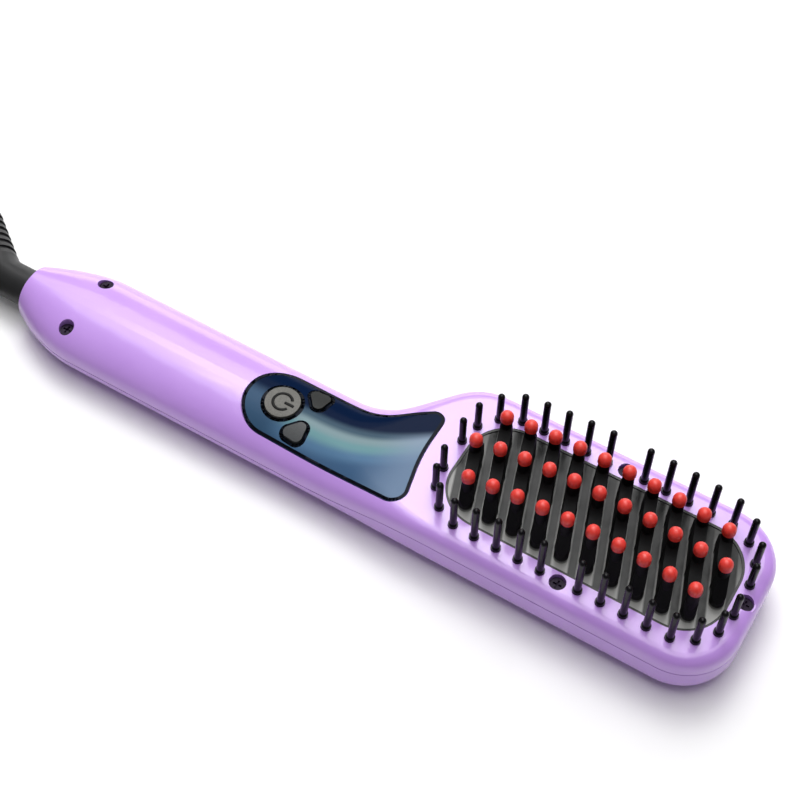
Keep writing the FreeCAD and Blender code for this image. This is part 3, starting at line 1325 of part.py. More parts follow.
for name, shape in pieces.items():
    shape.exportStep("parts/" + name + ".step")
    print(name, len(shape.Solids), shape.isValid(), round(shape.Volume, 1))
print("least gap between the coil's turns", round(coil_gap(), 2))
for name, edges in (("cord_run", run_edges()), ("cord_coil", coil_edges())):
    length = sum(edge.Length for edge in edges)
    bends = [edge.Curve.Radius for edge in edges if isinstance(edge.Curve, Part.Circle)]
    share = pieces[name].Volume / (math.pi * CORD_RADIUS ** 2 * length)
    print(name, "length", round(length, 1), "bend radii", round(min(bends), 1), "to", round(max(bends), 1),
          "volume over section times length", round(share, 4))
print("plug pins start", PLUG_START.x + PLUG_GRIP_LENGTH + PLUG_BODY_LENGTH, PLUG_START.y, PLUG_START.z)
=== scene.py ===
import math

import bpy
from mathutils import Euler, Matrix, Vector


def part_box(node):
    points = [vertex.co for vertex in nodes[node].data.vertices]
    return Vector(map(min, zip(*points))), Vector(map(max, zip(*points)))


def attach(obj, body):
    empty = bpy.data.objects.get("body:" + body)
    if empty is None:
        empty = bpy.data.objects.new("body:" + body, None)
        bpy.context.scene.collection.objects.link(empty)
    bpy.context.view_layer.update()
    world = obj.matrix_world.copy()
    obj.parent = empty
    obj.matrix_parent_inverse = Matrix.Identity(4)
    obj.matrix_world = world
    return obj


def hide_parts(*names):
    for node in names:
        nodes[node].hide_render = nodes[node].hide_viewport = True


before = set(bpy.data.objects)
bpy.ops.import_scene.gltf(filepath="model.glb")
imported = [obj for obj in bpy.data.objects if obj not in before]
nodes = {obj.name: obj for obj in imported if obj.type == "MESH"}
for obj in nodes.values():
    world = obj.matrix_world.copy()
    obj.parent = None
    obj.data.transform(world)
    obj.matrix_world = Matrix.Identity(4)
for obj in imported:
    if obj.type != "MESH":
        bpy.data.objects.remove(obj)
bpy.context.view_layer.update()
bpy.ops.object.select_all(action="DESELECT")


# Camera
# The viewpoint was worked out from the regular grid of teeth: it looks down on the comb
# at about 55 degrees from the near side of the head, with a longish lens.
camera_place = (0.16075, -0.25761, 0.46780)
camera_tilt = math.radians(34.8426)
camera_roll = math.radians(-0.4028)
camera_heading = math.radians(31.1865)
camera_data = bpy.data.cameras.new("camera")
camera_data.sensor_width = 36.0
camera_data.lens = 70.42
camera = bpy.data.objects.new("camera", camera_data)
camera.matrix_world = Matrix.LocRotScale(
    Vector(camera_place), Euler((camera_tilt, camera_roll, camera_heading)), None)
bpy.context.scene.collection.objects.link(camera)
bpy.context.scene.camera = camera
bpy.context.scene.view_settings.view_transform = "Standard"


# Housing shells
# Two halves of glossy lilac ABS, moulded and screwed together along the seam.
# The gloss is high but the surface keeps the faint ripple that moulded plastic has.
noise_low = 0.2
noise_high = 0.8


def feed(finish, socket, value):
    """Sets a socket to a plain value, or links it to another node's output."""
    if isinstance(value, bpy.types.NodeSocket):
        finish.node_tree.links.new(value, socket)
    else:
        socket.default_value = value


def set_shader(finish, name, value):
    """Sets or links one input of the finish's own shader."""
    feed(finish, finish.node_tree.nodes["Principled BSDF"].inputs[name], value)


def new_finish(name, colour, roughness):
    """A material with one Principled shader, of an even colour and roughness."""
    finish = bpy.data.materials.new(name)
    finish.use_nodes = True
    set_shader(finish, "Base Color", (*colour, 1.0))
    set_shader(finish, "Roughness", roughness)
    return finish


def object_place(finish):
    """The place on the piece, in its own metres."""
    return finish.node_tree.nodes.new("ShaderNodeTexCoord").outputs["Object"]


def object_noise(finish, scale, detail):
    """Noise fixed to the piece; the scale counts its waves in a metre."""
    noise = finish.node_tree.nodes.new("ShaderNodeTexNoise")
    noise.inputs["Scale"].default_value = scale
    noise.inputs["Detail"].default_value = detail
    feed(finish, noise.inputs["Vector"], object_place(finish))
    return noise.outputs["Fac"]


def tone_ramp(finish, value, stops, curve="LINEAR"):
    """Tones laid out along a value, as pairs of position and colour."""
    step = finish.node_tree.nodes.new("ShaderNodeValToRGB")
    ramp = step.color_ramp
    ramp.interpolation = curve
    for end in (0, -1):
        ramp.elements[end].position = stops[end][0]
        ramp.elements[end].color = (*stops[end][1], 1.0)
    for position, colour in stops[1:-1]:
        ramp.elements.new(position).color = (*colour, 1.0)
    feed(finish, step.inputs["Fac"], value)
    return step.outputs["Color"]


def value_span(finish, value, start, end, low=0.0, high=1.0, curve="LINEAR"):
    """Carries the stretch from start to end over to low to high, and holds it past both ends."""
    step = finish.node_tree.nodes.new("ShaderNodeMapRange")
    step.interpolation_type = curve
    step.inputs["From Min"].default_value = start
    step.inputs["From Max"].default_value = end
    step.inputs["To Min"].default_value = low
    step.inputs["To Max"].default_value = high
    feed(finish, step.inputs["Value"], value)
    return step.outputs["Result"]


def vary_colour(finish, noise, dark, light):
    """Base colour wanders between two near tones."""
    set_shader(finish, "Base Color", tone_ramp(finish, noise, [(noise_low, dark), (noise_high, light)]))


def vary_roughness(finish, noise, low, high):
    """Roughness wanders between two values, as handling and moulding leave it."""
    set_shader(finish, "Roughness", value_span(finish, noise, noise_low, noise_high, low, high))


def add_bump(finish, noise, strength, depth):
    """Fine relief from a pattern, depth in metres."""
    bump = finish.node_tree.nodes.new("ShaderNodeBump")
    bump.inputs["Strength"].default_value = strength
    bump.inputs["Distance"].default_value = depth
    feed(finish, bump.inputs["Height"], noise)
    set_shader(finish, "Normal", bump.outputs["Normal"])


def paint(names, finish):
    """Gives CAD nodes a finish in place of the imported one."""
    for name in names:
        nodes[name].data.materials.clear()
        nodes[name].data.materials.append(finish)


lilac = new_finish("lilac_gloss", colour=(0.54, 0.30, 0.80), roughness=0.34)
mottle = object_noise(lilac, scale=60.0, detail=2.0)
vary_colour(lilac, mottle, dark=(0.53, 0.29, 0.79), light=(0.55, 0.31, 0.81))
vary_roughness(lilac, mottle, low=0.31, high=0.37)
ripple = object_noise(lilac, scale=900.0, detail=1.0)
add_bump(lilac, ripple, strength=0.05, depth=0.0001)
set_shader(lilac, "Coat Weight", 0.6)
set_shader(lilac, "Coat Roughness", 0.12)
paint(["front_shell", "rear_shell"], lilac)


# Heating plate
# Die-cast pad with slanted toothed ribs under a black glaze. A painted highlight keeps the troughs grey
# and bright beside the ribs, and painted shade darkens them towards the far side; the rib tops stay
# black and are rougher.
rib_pitch = 0.009
rib_lean = 0.347
rib_half_root = 0.0024
rib_foot_z = 0.0212
rib_top_z = 0.0226
rib_extra_roughness = 0.35
plate_middle_x = 0.08275
plate_near_y = -0.012
plate_far_y = 0.018
# Painted shade: the troughs darken towards this tone, up to this share, at the far side of the plate.
plate_far_shade_share = 0.85
plate_far_painted_shade = (0.008, 0.008, 0.008, 1.0)
rib_tone = (0.003, 0.003, 0.0035, 1.0)


def place_axes(finish):
    """The place on the piece as three values: x, y and z."""
    step = finish.node_tree.nodes.new("ShaderNodeSeparateXYZ")
    feed(finish, step.inputs["Vector"], object_place(finish))
    return step.outputs["X"], step.outputs["Y"], step.outputs["Z"]


def reckon(finish, operation, *terms):
    """One arithmetic step on values or plain numbers."""
    step = finish.node_tree.nodes.new("ShaderNodeMath")
    step.operation = operation
    for socket, term in zip(step.inputs, terms):
        feed(finish, socket, term)
    return step.outputs["Value"]


def mix_tones(finish, share, first, second):
    """Goes over from the first tone to the second as the share grows."""
    step = finish.node_tree.nodes.new("ShaderNodeMix")
    step.data_type = "RGBA"
    feed(finish, step.inputs["Factor"], share)
    feed(finish, step.inputs["A"], first)
    feed(finish, step.inputs["B"], second)
    return step.outputs["Result"]


plate_glaze = new_finish("plate_glaze", colour=(0.012, 0.012, 0.013), roughness=0.22)
plate_x, plate_y, plate_z = place_axes(plate_glaze)
from_middle = reckon(plate_glaze, "SUBTRACT", plate_x, plate_middle_x)
across_ribs = reckon(plate_glaze, "MULTIPLY_ADD", plate_y, rib_lean, from_middle)
from_rib = reckon(plate_glaze, "PINGPONG", across_ribs, rib_pitch / 2)
trough_place = value_span(plate_glaze, from_rib, start=rib_half_root, end=rib_pitch / 2)
# Painted highlight: the troughs are grey, and brightest right beside the ribs, where the glaze would
# mirror the lamps.
trough_painted_highlight = tone_ramp(plate_glaze, trough_place, [
    (0.10, (0.38, 0.38, 0.37)), (0.45, (0.04, 0.041, 0.04))])
# Painted shade: the troughs' painted highlight fades towards the far side of the plate.
painted_shade_share = value_span(plate_glaze, plate_y, start=plate_near_y, end=plate_far_y, high=plate_far_shade_share)
painted_light_tone = mix_tones(plate_glaze, painted_shade_share, trough_painted_highlight, plate_far_painted_shade)
up_the_rib = value_span(plate_glaze, plate_z, start=rib_foot_z, end=rib_top_z)
set_shader(plate_glaze, "Base Color", mix_tones(plate_glaze, up_the_rib, painted_light_tone, rib_tone))
set_shader(plate_glaze, "Specular IOR Level", 0.12)
cast_grain = object_noise(plate_glaze, scale=320.0, detail=3.0)
grain_roughness = value_span(plate_glaze, cast_grain, start=0.0, end=1.0, low=0.14, high=0.32)
rib_roughness = reckon(plate_glaze, "MULTIPLY_ADD", up_the_rib, rib_extra_roughness, grain_roughness)
set_shader(plate_glaze, "Roughness", rib_roughness)
add_bump(plate_glaze, cast_grain, strength=0.3, depth=0.0004)
paint(["heating_plate"], plate_glaze)


# Tooth caps
# Red silicone beads, each moulded in one piece and pressed on its tooth.
# The rubber is slightly translucent, with a soft sheen.
tip_red = new_finish("silicone_red", colour=(0.76, 0.045, 0.035), roughness=0.38)
mottle = object_noise(tip_red, scale=700.0, detail=2.0)
vary_colour(tip_red, mottle, dark=(0.68, 0.035, 0.028), light=(0.82, 0.06, 0.045))
add_bump(tip_red, mottle, strength=0.1, depth=0.0001)
set_shader(tip_red, "Subsurface Weight", 0.15)
set_shader(tip_red, "Subsurface Scale", 0.001)
paint(["tip_caps"], tip_red)


# Guard bristles, gasket and retainer
# Heat-resistant black nylon pins with round tips, trapped under the face by a grey frame;
# a silicone ring seals the plate in its opening.
nylon = new_finish("nylon_black", colour=(0.005, 0.0045, 0.006), roughness=0.26)
mottle = object_noise(nylon, scale=500.0, detail=2.0)
vary_roughness(nylon, mottle, low=0.16, high=0.24)
set_shader(nylon, "Specular IOR Level", 0.16)
add_bump(nylon, mottle, strength=0.03, depth=0.0001)
paint(["guard_bristles"], nylon)

gasket = new_finish("silicone_black", colour=(0.012, 0.012, 0.012), roughness=0.45)
vary_roughness(gasket, object_noise(gasket, scale=600.0, detail=2.0), low=0.38, high=0.52)
paint(["plate_gasket"], gasket)

frame_grey = new_finish("moulded_grey", colour=(0.25, 0.25, 0.27), roughness=0.6)
mottle = object_noise(frame_grey, scale=900.0, detail=3.0)
vary_colour(frame_grey, mottle, dark=(0.23, 0.23, 0.25), light=(0.27, 0.27, 0.29))
add_bump(frame_grey, mottle, strength=0.15, depth=0.0002)
paint(["bristle_retainer"], frame_grey)


# Screws and steel pieces
# The screws at the bottom of the housing's recesses are near-black with a purple cast, painted shade of
# the recesses. The screws inside the head, the heater clamp and the case of the cut-out under it are
# bare steel.
# Painted shade of the recesses: the screws are near-black with a purple cast.
recess_shade_screws = new_finish("screw_recess_shade", colour=(0.016, 0.007, 0.024), roughness=0.5)
set_shader(recess_shade_screws, "Specular IOR Level", 0.12)
vary_roughness(recess_shade_screws, object_noise(recess_shade_screws, scale=1500.0, detail=2.0), low=0.3, high=0.5)
paint(["head_screws", "handle_screws"], recess_shade_screws)

steel = new_finish("spring_steel", colour=(0.55, 0.55, 0.56), roughness=0.35)
set_shader(steel, "Metallic", 1.0)
vary_roughness(steel, object_noise(steel, scale=800.0, detail=3.0), low=0.28, high=0.45)
paint(["retainer_screws", "clamp_screws", "heater_clamp", "thermal_fuse"], steel)


# Heater pack
# A white ceramic heater, clamped to the back of the plate, a sensor with a bead of brown glass
# under the clamp, and a sheet of mica over the back of the head.
ceramic = new_finish("heater_ceramic", colour=(0.82, 0.80, 0.75), roughness=0.7)
mottle = object_noise(ceramic, scale=1200.0, detail=4.0)
vary_colour(ceramic, mottle, dark=(0.78, 0.76, 0.71), light=(0.86, 0.84, 0.79))
add_bump(ceramic, mottle, strength=0.2, depth=0.0002)
paint(["heater_element"], ceramic)

mica = new_finish("mica_sheet", colour=(0.66, 0.60, 0.46), roughness=0.35)
mottle = object_noise(mica, scale=250.0, detail=6.0)
vary_colour(mica, mottle, dark=(0.55, 0.48, 0.34), light=(0.74, 0.68, 0.54))
paint(["heat_shield"], mica)

bead_glass = new_finish("bead_glass", colour=(0.55, 0.28, 0.12), roughness=0.15)
mottle = object_noise(bead_glass, scale=2000.0, detail=2.0)
vary_colour(bead_glass, mottle, dark=(0.50, 0.25, 0.10), light=(0.60, 0.31, 0.14))
paint(["temperature_sensor"], bead_glass)


# Control panel
# Dark smoked acrylic, seated flush in the handle. A painted reflection of the lamps lies on it as a
# paler blue and teal field that fades to navy along the far edge, which flares towards the head.
waist_x = 0.001
flare_softness = 0.024
flare_slope = 0.74
near_edge_y = -0.0283
far_edge_y = 0.0017
near_stop = 0.08
navy_stop = 0.67
navy = (0.003, 0.010, 0.036)

panel = new_finish("panel_smoke", colour=(0.01, 0.02, 0.05), roughness=0.12)
panel_x, panel_y = place_axes(panel)[:2]
past_waist = reckon(panel, "SUBTRACT", panel_x, waist_x)
ahead_of_waist = reckon(panel, "SMOOTH_MAX", past_waist, 0.0, flare_softness)
flare = reckon(panel, "MULTIPLY", ahead_of_waist, flare_slope)
from_flare = reckon(panel, "SUBTRACT", panel_y, flare)
across_panel = value_span(panel, from_flare, start=near_edge_y, end=far_edge_y)


def panel_reflection_tones(near_reflection_tone, middle_stops):
    """Painted reflection tones from the panel's near edge to the navy of its far one."""
    stops = [(near_stop, near_reflection_tone), *middle_stops, (navy_stop, navy)]
    return tone_ramp(panel, across_panel, stops, curve="EASE")


def along_panel(first, second, start_x, end_x, share):
    """Goes over from one set of tones to another along the handle."""
    along = value_span(panel, panel_x, start_x, end_x, high=share, curve="SMOOTHSTEP")
    return mix_tones(panel, along, first, second)


# Painted reflection of the lamps: pale blue and teal bands across the panel, paler at the front end and
# darker at the rear.
middle_reflection_tones = panel_reflection_tones((0.05, 0.105, 0.20), [
    (0.22, (0.08, 0.165, 0.28)), (0.36, (0.135, 0.275, 0.30)),
    (0.47, (0.20, 0.285, 0.31)), (0.57, (0.05, 0.09, 0.13))])
rear_reflection_tones = panel_reflection_tones((0.03, 0.07, 0.13), [(0.48, (0.045, 0.09, 0.16))])
front_reflection_tones = panel_reflection_tones((0.16, 0.23, 0.34), [(0.50, (0.24, 0.31, 0.42))])
with_front = along_panel(middle_reflection_tones, front_reflection_tones, start_x=0.003, end_x=0.021, share=0.85)
with_rear = along_panel(with_front, rear_reflection_tones, start_x=-0.020, end_x=-0.034, share=1.0)
set_shader(panel, "Base Color", with_rear)
vary_roughness(panel, object_noise(panel, scale=120.0, detail=2.0), low=0.1, high=0.16)
set_shader(panel, "Specular IOR Level", 0.02)
paint(["control_panel"], panel)


# Panel border
# A thin black film laid round the edge of the window and round each key hole as painted shade of the
# gaps there, lying on the acrylic and a few hundredths of a millimetre thick.
border_width = 0.0011
film_thickness = 0.00004
film_rise = 0.00003
top_normal_z = 0.6
weld_distance = 0.000002
border = bpy.data.objects.new("panel_gap_shade", nodes["control_panel"].data.copy())
bpy.context.scene.collection.objects.link(border)
border.select_set(True)
bpy.context.view_layer.objects.active = border
bpy.context.tool_settings.mesh_select_mode = (False, False, True)
bpy.ops.object.mode_set(mode="EDIT")
bpy.ops.mesh.select_all(action="SELECT")
bpy.ops.mesh.remove_doubles(threshold=weld_distance)
bpy.ops.mesh.select_all(action="DESELECT")
bpy.ops.object.mode_set(mode="OBJECT")
for face in border.data.polygons:
    face.select = face.normal.z < top_normal_z
bpy.ops.object.mode_set(mode="EDIT")
bpy.ops.mesh.delete(type="FACE")
bpy.ops.mesh.select_all(action="SELECT")
bpy.ops.mesh.inset(thickness=border_width, use_boundary=True, use_even_offset=True)
bpy.ops.mesh.delete(type="FACE")
bpy.ops.mesh.select_all(action="SELECT")
bpy.ops.transform.shrink_fatten(value=film_rise)
bpy.ops.object.mode_set(mode="OBJECT")
film = border.modifiers.new("film", "SOLIDIFY")
film.thickness = film_thickness
film.offset = -1.0
bpy.ops.object.modifier_apply(modifier="film")
# Painted shade of the gaps round the window and the key holes, laid as a black film.
gap_shade_black = new_finish("gap_shade_black", colour=(0.004, 0.006, 0.012), roughness=0.3)
vary_roughness(gap_shade_black, object_noise(gap_shade_black, scale=800.0, detail=2.0), low=0.35, high=0.5)
set_shader(gap_shade_black, "Specular IOR Level", 0.06)
border.data.materials.clear()
border.data.materials.append(gap_shade_black)
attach(border, "body")
bpy.ops.object.select_all(action="DESELECT")


# Keys
# A round power key in warm grey and two rounded triangular keys, dark grey on the near side and
# nearly black on the far one; satin moulded caps on stems that press the switches under them.
def key_finish(name, colour, dark, light, shine):
    """Satin plastic with a fine speckle."""
    finish = new_finish(name, colour, roughness=0.42)
    set_shader(finish, "Specular IOR Level", shine)
    speckle = object_noise(finish, scale=2500.0, detail=3.0)
    vary_colour(finish, speckle, dark, light)
    add_bump(finish, speckle, strength=0.15, depth=0.0001)
    return finish


key_warm = key_finish("key_warm_grey", colour=(0.115, 0.113, 0.10), dark=(0.075, 0.073, 0.066),
                      light=(0.155, 0.15, 0.135), shine=0.25)
key_dark = key_finish("key_dark_grey", colour=(0.045, 0.048, 0.052), dark=(0.035, 0.038, 0.04),
                      light=(0.058, 0.061, 0.064), shine=0.25)
key_black = key_finish("key_black", colour=(0.018, 0.019, 0.018), dark=(0.014, 0.015, 0.014),
                       light=(0.023, 0.024, 0.023), shine=0.15)
paint(["power_button"], key_warm)
paint(["lower_button"], key_dark)
paint(["raise_button"], key_black)

plunger_black = new_finish("plunger_black", colour=(0.03, 0.03, 0.03), roughness=0.5)
vary_roughness(plunger_black, object_noise(plunger_black, scale=2000.0, detail=2.0), low=0.45, high=0.6)
paint(["power_plunger", "lower_plunger", "raise_plunger"], plunger_black)


# Power sign
# A broken ring and a stroke, raised a little from the power key's top and printed dark.
# It is moulded with the key, so it goes down with it.
key_low, key_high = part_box("power_button")
sign_x = (key_low[0] + key_high[0]) / 2
sign_y = (key_low[1] + key_high[1]) / 2
sign_z = key_high[2]
sign_radius = 0.0034
sign_stroke = 0.00054
sign_flatness = 0.5
sign_gap = math.radians(32.0)
stroke_offset = 0.8 * sign_radius
stroke_length = 1.1 * sign_radius
stroke_rounding = 0.9 * sign_flatness * sign_stroke
smooth_angle = math.radians(40.0)
bpy.ops.mesh.primitive_torus_add(major_segments=56, minor_segments=10, major_radius=sign_radius,
                                 minor_radius=sign_stroke, location=(sign_x, sign_y, sign_z))
sign = bpy.context.object
sign.name = "power_sign"
sign.scale.z = sign_flatness
bpy.ops.object.transform_apply(location=True, rotation=True, scale=True)
bpy.context.tool_settings.mesh_select_mode = (True, False, False)
bpy.ops.object.mode_set(mode="EDIT")
bpy.ops.mesh.select_all(action="DESELECT")
bpy.ops.object.mode_set(mode="OBJECT")
for vertex in sign.data.vertices:
    angle = math.atan2(vertex.co.y - sign_y, vertex.co.x - sign_x)
    vertex.select = abs(angle) < sign_gap
bpy.ops.object.mode_set(mode="EDIT")
bpy.ops.mesh.delete(type="VERT")
bpy.ops.mesh.select_all(action="SELECT")
bpy.ops.mesh.fill_holes(sides=0)
bpy.ops.object.mode_set(mode="OBJECT")
bpy.ops.mesh.primitive_cube_add(size=1.0, location=(sign_x + stroke_offset, sign_y, sign_z),
                                scale=(stroke_length, 2 * sign_stroke, 2 * sign_flatness * sign_stroke))
stroke = bpy.context.object
bpy.ops.object.transform_apply(location=True, rotation=True, scale=True)
rounding = stroke.modifiers.new("rounding", "BEVEL")
rounding.width = stroke_rounding
rounding.segments = 3
bpy.ops.object.modifier_apply(modifier="rounding")
sign.select_set(True)
bpy.context.view_layer.objects.active = sign
bpy.ops.object.join()
bpy.ops.object.shade_smooth_by_angle(angle=smooth_angle)
sign_ink = new_finish("sign_ink", colour=(0.006, 0.006, 0.006), roughness=0.5)
set_shader(sign_ink, "Specular IOR Level", 0.15)
vary_roughness(sign_ink, object_noise(sign_ink, scale=3000.0, detail=2.0), low=0.4, high=0.6)
sign.data.materials.append(sign_ink)
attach(sign, "power_key")
bpy.ops.object.select_all(action="DESELECT")


# Board, display and wires
# A green fibreglass board screwed on four posts, its larger parts below, and the switches and the
# display above; silicone-sleeved wires run to the heater and to the block of the sliding contacts.
board_green = new_finish("board_green", colour=(0.03, 0.20, 0.09), roughness=0.4)
mottle = object_noise(board_green, scale=900.0, detail=3.0)
vary_colour(board_green, mottle, dark=(0.025, 0.17, 0.075), light=(0.035, 0.23, 0.105))
paint(["control_board"], board_green)
paint(["board_screws", "tact_switches"], steel)
paint(["fuse_link"], bead_glass)
paint(["contact_block"], plunger_black)

part_black = new_finish("part_black", colour=(0.025, 0.025, 0.025), roughness=0.55)
vary_roughness(part_black, object_noise(part_black, scale=1500.0, detail=3.0), low=0.5, high=0.65)
paint(["controller_chip", "triac"], part_black)

film_yellow = new_finish("film_yellow", colour=(0.72, 0.52, 0.06), roughness=0.45)
mottle = object_noise(film_yellow, scale=1200.0, detail=2.0)
vary_colour(film_yellow, mottle, dark=(0.68, 0.48, 0.05), light=(0.76, 0.56, 0.07))
paint(["film_capacitor"], film_yellow)

display_white = new_finish("display_white", colour=(0.8, 0.8, 0.8), roughness=0.6)
mottle = object_noise(display_white, scale=800.0, detail=2.0)
vary_colour(display_white, mottle, dark=(0.78, 0.78, 0.78), light=(0.82, 0.82, 0.82))
paint(["display_backlight"], display_white)

display_grey = new_finish("display_grey", colour=(0.30, 0.36, 0.36), roughness=0.1)
mottle = object_noise(display_grey, scale=800.0, detail=2.0)
vary_colour(display_grey, mottle, dark=(0.28, 0.34, 0.34), light=(0.32, 0.38, 0.38))
paint(["display_glass"], display_grey)

sleeve_white = new_finish("sleeve_white", colour=(0.78, 0.78, 0.75), roughness=0.6)
mottle = object_noise(sleeve_white, scale=1500.0, detail=3.0)
vary_colour(sleeve_white, mottle, dark=(0.74, 0.74, 0.71), light=(0.82, 0.82, 0.79))
paint(["heater_leads", "supply_leads"], sleeve_white)


# Cord outlet and plug
# A nylon hub with brass rings turns in the housing, against brass springs. Soft vinyl is moulded
# on the cord: an elbow with a grooved tail at the comb and a plug with two nickel pins at the far end.
brass = new_finish("contact_brass", colour=(0.72, 0.50, 0.20), roughness=0.3)
set_shader(brass, "Metallic", 1.0)
vary_roughness(brass, object_noise(brass, scale=1500.0, detail=3.0), low=0.22, high=0.4)
paint(["contact_springs", "slip_rings"], brass)
paint(["swivel_hub"], nylon)

vinyl = new_finish("vinyl_black", colour=(0.021, 0.021, 0.022), roughness=0.42)
set_shader(vinyl, "Specular IOR Level", 0.25)
mottle = object_noise(vinyl, scale=700.0, detail=3.0)
vary_roughness(vinyl, mottle, low=0.36, high=0.5)
add_bump(vinyl, mottle, strength=0.12, depth=0.0002)
paint(["strain_relief", "plug_body"], vinyl)

pin_nickel = new_finish("pin_nickel", colour=(0.75, 0.73, 0.70), roughness=0.2)
set_shader(pin_nickel, "Metallic", 1.0)
vary_roughness(pin_nickel, object_noise(pin_nickel, scale=1500.0, detail=2.0), low=0.15, high=0.28)
paint(["plug_pins"], pin_nickel)


# Cord
# Round black vinyl lead, 5.6 mm thick. It leaves the boot, comes down to the table and is put away
# as a neat two-layer coil just outside the picture, with the plug beside it.
cord_diameter = 0.0056
boot_end = (-0.18199, 0.00829, 0.01075)
coil_entry = (-0.20428, 0.02837, 0.0038)
coil_centre = (-0.23439, -0.00507)
coil_start = math.radians(48.0)
coil_radius = 0.045
coil_pitch = 0.0061
layer_turns = 3.5
climb_turns = 0.5
last_turn = 42.0 / 360.0
steps_per_turn = 24
coil_turns = 2 * layer_turns + climb_turns + last_turn
coil_steps = int(steps_per_turn * coil_turns)
coil_inner = coil_radius - coil_pitch * layer_turns
route = [boot_end, (-0.18786, 0.01358, boot_end[2]), (-0.19841, 0.02308, coil_entry[2]), coil_entry]
for step in range(1, coil_steps + 1):
    turn = coil_turns * step / coil_steps
    radius = coil_radius - coil_pitch * turn
    height = coil_entry[2]
    if turn > layer_turns:
        climb = min((turn - layer_turns) / climb_turns, 1.0)
        radius = coil_inner - coil_pitch * climb_turns / math.pi * math.sin(math.pi * climb)
        height = coil_entry[2] + coil_pitch * climb * climb * (3 - 2 * climb)
    if turn > layer_turns + climb_turns:
        radius = coil_inner + coil_pitch * (turn - layer_turns - climb_turns)
    angle = coil_start + 2 * math.pi * turn
    route.append((coil_centre[0] + radius * math.cos(angle),
                  coil_centre[1] + radius * math.sin(angle), height))
coil_end = route[-1]
for ahead, aside in ((0.006, 0.0), (0.0122, 0.0), (0.0238, 0.004), (0.030, 0.004)):
    route.append((coil_end[0] + ahead, coil_end[1] + aside, coil_end[2]))
cord_curve = bpy.data.curves.new("cord", "CURVE")
cord_curve.dimensions = "3D"
spline = cord_curve.splines.new("NURBS")
spline.points.add(len(route) - 1)
for point, spot in zip(spline.points, route):
    point.co = (*spot, 1.0)
spline.order_u = 3
spline.use_endpoint_u = True
spline.resolution_u = 4
cord_curve.bevel_depth = cord_diameter / 2
cord_curve.bevel_resolution = 4
cord_curve.use_fill_caps = True
cord = bpy.data.objects.new("cord", cord_curve)
bpy.context.scene.collection.objects.link(cord)
cord_vinyl = new_finish("cord_vinyl", colour=(0.016, 0.016, 0.017), roughness=0.45)
mottle = object_noise(cord_vinyl, scale=900.0, detail=3.0)
vary_roughness(cord_vinyl, mottle, low=0.4, high=0.55)
add_bump(cord_vinyl, mottle, strength=0.1, depth=0.0002)
cord_curve.materials.append(cord_vinyl)
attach(cord, "cord_outlet")
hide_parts("cord_run", "cord_coil")


# Cord tie
# A short strap of black hook-and-loop weave, closed round all the turns at one side of the coil.
# It is bent round from a flat strip, so its four corners are well rounded.
tie_low, tie_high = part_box("cord_tie")
tie_thickness = 0.0008
tie_corner = 0.003
end_normal_y = 0.9
tie_middle = [(low + high) / 2 for low, high in zip(tie_low, tie_high)]
tie_size = [high - low for low, high in zip(tie_low, tie_high)]
bpy.ops.mesh.primitive_cube_add(size=1.0, location=tie_middle, scale=tie_size)
tie = bpy.context.object
tie.name = "tie_strap"
bpy.ops.object.transform_apply(location=True, rotation=True, scale=True)
for face in tie.data.polygons:
    face.select = abs(face.normal.y) > end_normal_y
bpy.context.tool_settings.mesh_select_mode = (False, False, True)
bpy.ops.object.mode_set(mode="EDIT")
bpy.ops.mesh.delete(type="ONLY_FACE")
bpy.ops.object.mode_set(mode="OBJECT")
for edge in tie.data.edges:
    start, end = [tie.data.vertices[index].co for index in edge.vertices]
    edge.select = abs(start.y - end.y) > tie_size[1] / 2
bpy.context.tool_settings.mesh_select_mode = (False, True, False)
bpy.ops.object.mode_set(mode="EDIT")
bpy.ops.mesh.bevel(offset=tie_corner, segments=6)
bpy.ops.object.mode_set(mode="OBJECT")
wall = tie.modifiers.new("wall", "SOLIDIFY")
wall.thickness = tie_thickness
wall.offset = -1.0
bpy.ops.object.modifier_apply(modifier="wall")
bpy.ops.object.shade_smooth_by_angle(angle=smooth_angle)
strap = new_finish("strap_weave", colour=(0.02, 0.02, 0.022), roughness=0.85)
weave = strap.node_tree.nodes.new("ShaderNodeTexWave")
weave.inputs["Scale"].default_value = 900.0
weave.inputs["Distortion"].default_value = 1.5
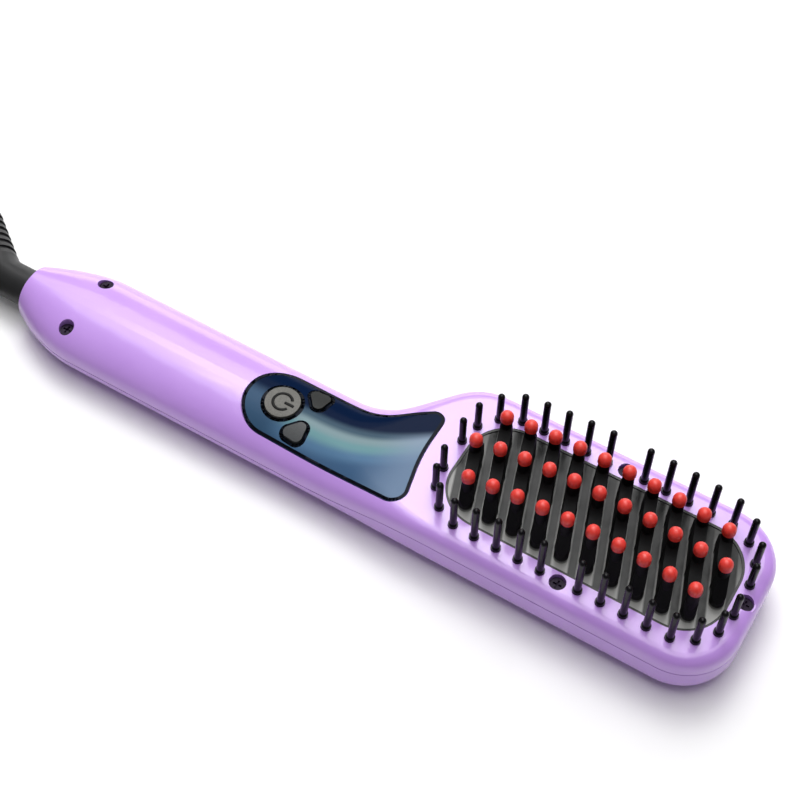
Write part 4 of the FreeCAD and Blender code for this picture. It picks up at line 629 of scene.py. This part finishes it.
feed(strap, weave.inputs["Vector"], object_place(strap))
add_bump(strap, weave.outputs["Fac"], strength=0.3, depth=0.0003)
tie.data.materials.append(strap)
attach(tie, "cord_outlet")
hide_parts("cord_tie")
bpy.ops.object.select_all(action="DESELECT")


# Floor and light
# A white paper sheet and four softboxes: a wide one and a narrow one high on the far side, of which
# the narrow one mirrors as a streak on the crown, one overhead and a low one for the far rim.
bpy.ops.mesh.primitive_plane_add(size=6.0, location=(0.0, 0.0, 0.0))
floor = bpy.context.object
floor.name = "floor"
paper_white = new_finish("paper_white", colour=(0.95, 0.95, 0.95), roughness=0.8)
mottle = object_noise(paper_white, scale=30.0, detail=2.0)
vary_colour(paper_white, mottle, dark=(0.94, 0.94, 0.94), light=(0.96, 0.96, 0.96))
floor.data.materials.append(paper_white)
bpy.ops.object.select_all(action="DESELECT")


def softbox(name, place, target, width, height, power):
    """A rectangular area light that faces a target point."""
    data = bpy.data.lights.new(name, "AREA")
    data.shape = "RECTANGLE"
    data.size = width
    data.size_y = height
    data.energy = power
    lamp = bpy.data.objects.new(name, data)
    facing = (Vector(place) - Vector(target)).to_track_quat("Z", "Y")
    lamp.matrix_world = Matrix.LocRotScale(Vector(place), facing, None)
    bpy.context.scene.collection.objects.link(lamp)


softbox("key_softbox", place=(-0.46, 0.82, 1.41), target=(0.03, -0.01, 0.02),
        width=1.3, height=1.1, power=14.0)
softbox("strip_softbox", place=(-0.40, 0.74, 1.36), target=(0.03, -0.01, 0.02),
        width=0.85, height=0.36, power=5.0)
softbox("top_softbox", place=(0.0, 0.10, 1.5), target=(0.0, -0.01, 0.02),
        width=1.2, height=1.2, power=14.0)
softbox("back_softbox", place=(-0.5, 1.6, 0.32), target=(0.0, 0.0, 0.02),
        width=2.0, height=0.5, power=9.0)
world = bpy.data.worlds.new("studio")
world.use_nodes = True
world.node_tree.nodes["Background"].inputs["Color"].default_value = (1.0, 1.0, 1.0, 1.0)
world.node_tree.nodes["Background"].inputs["Strength"].default_value = 0.13
bpy.context.scene.world = world
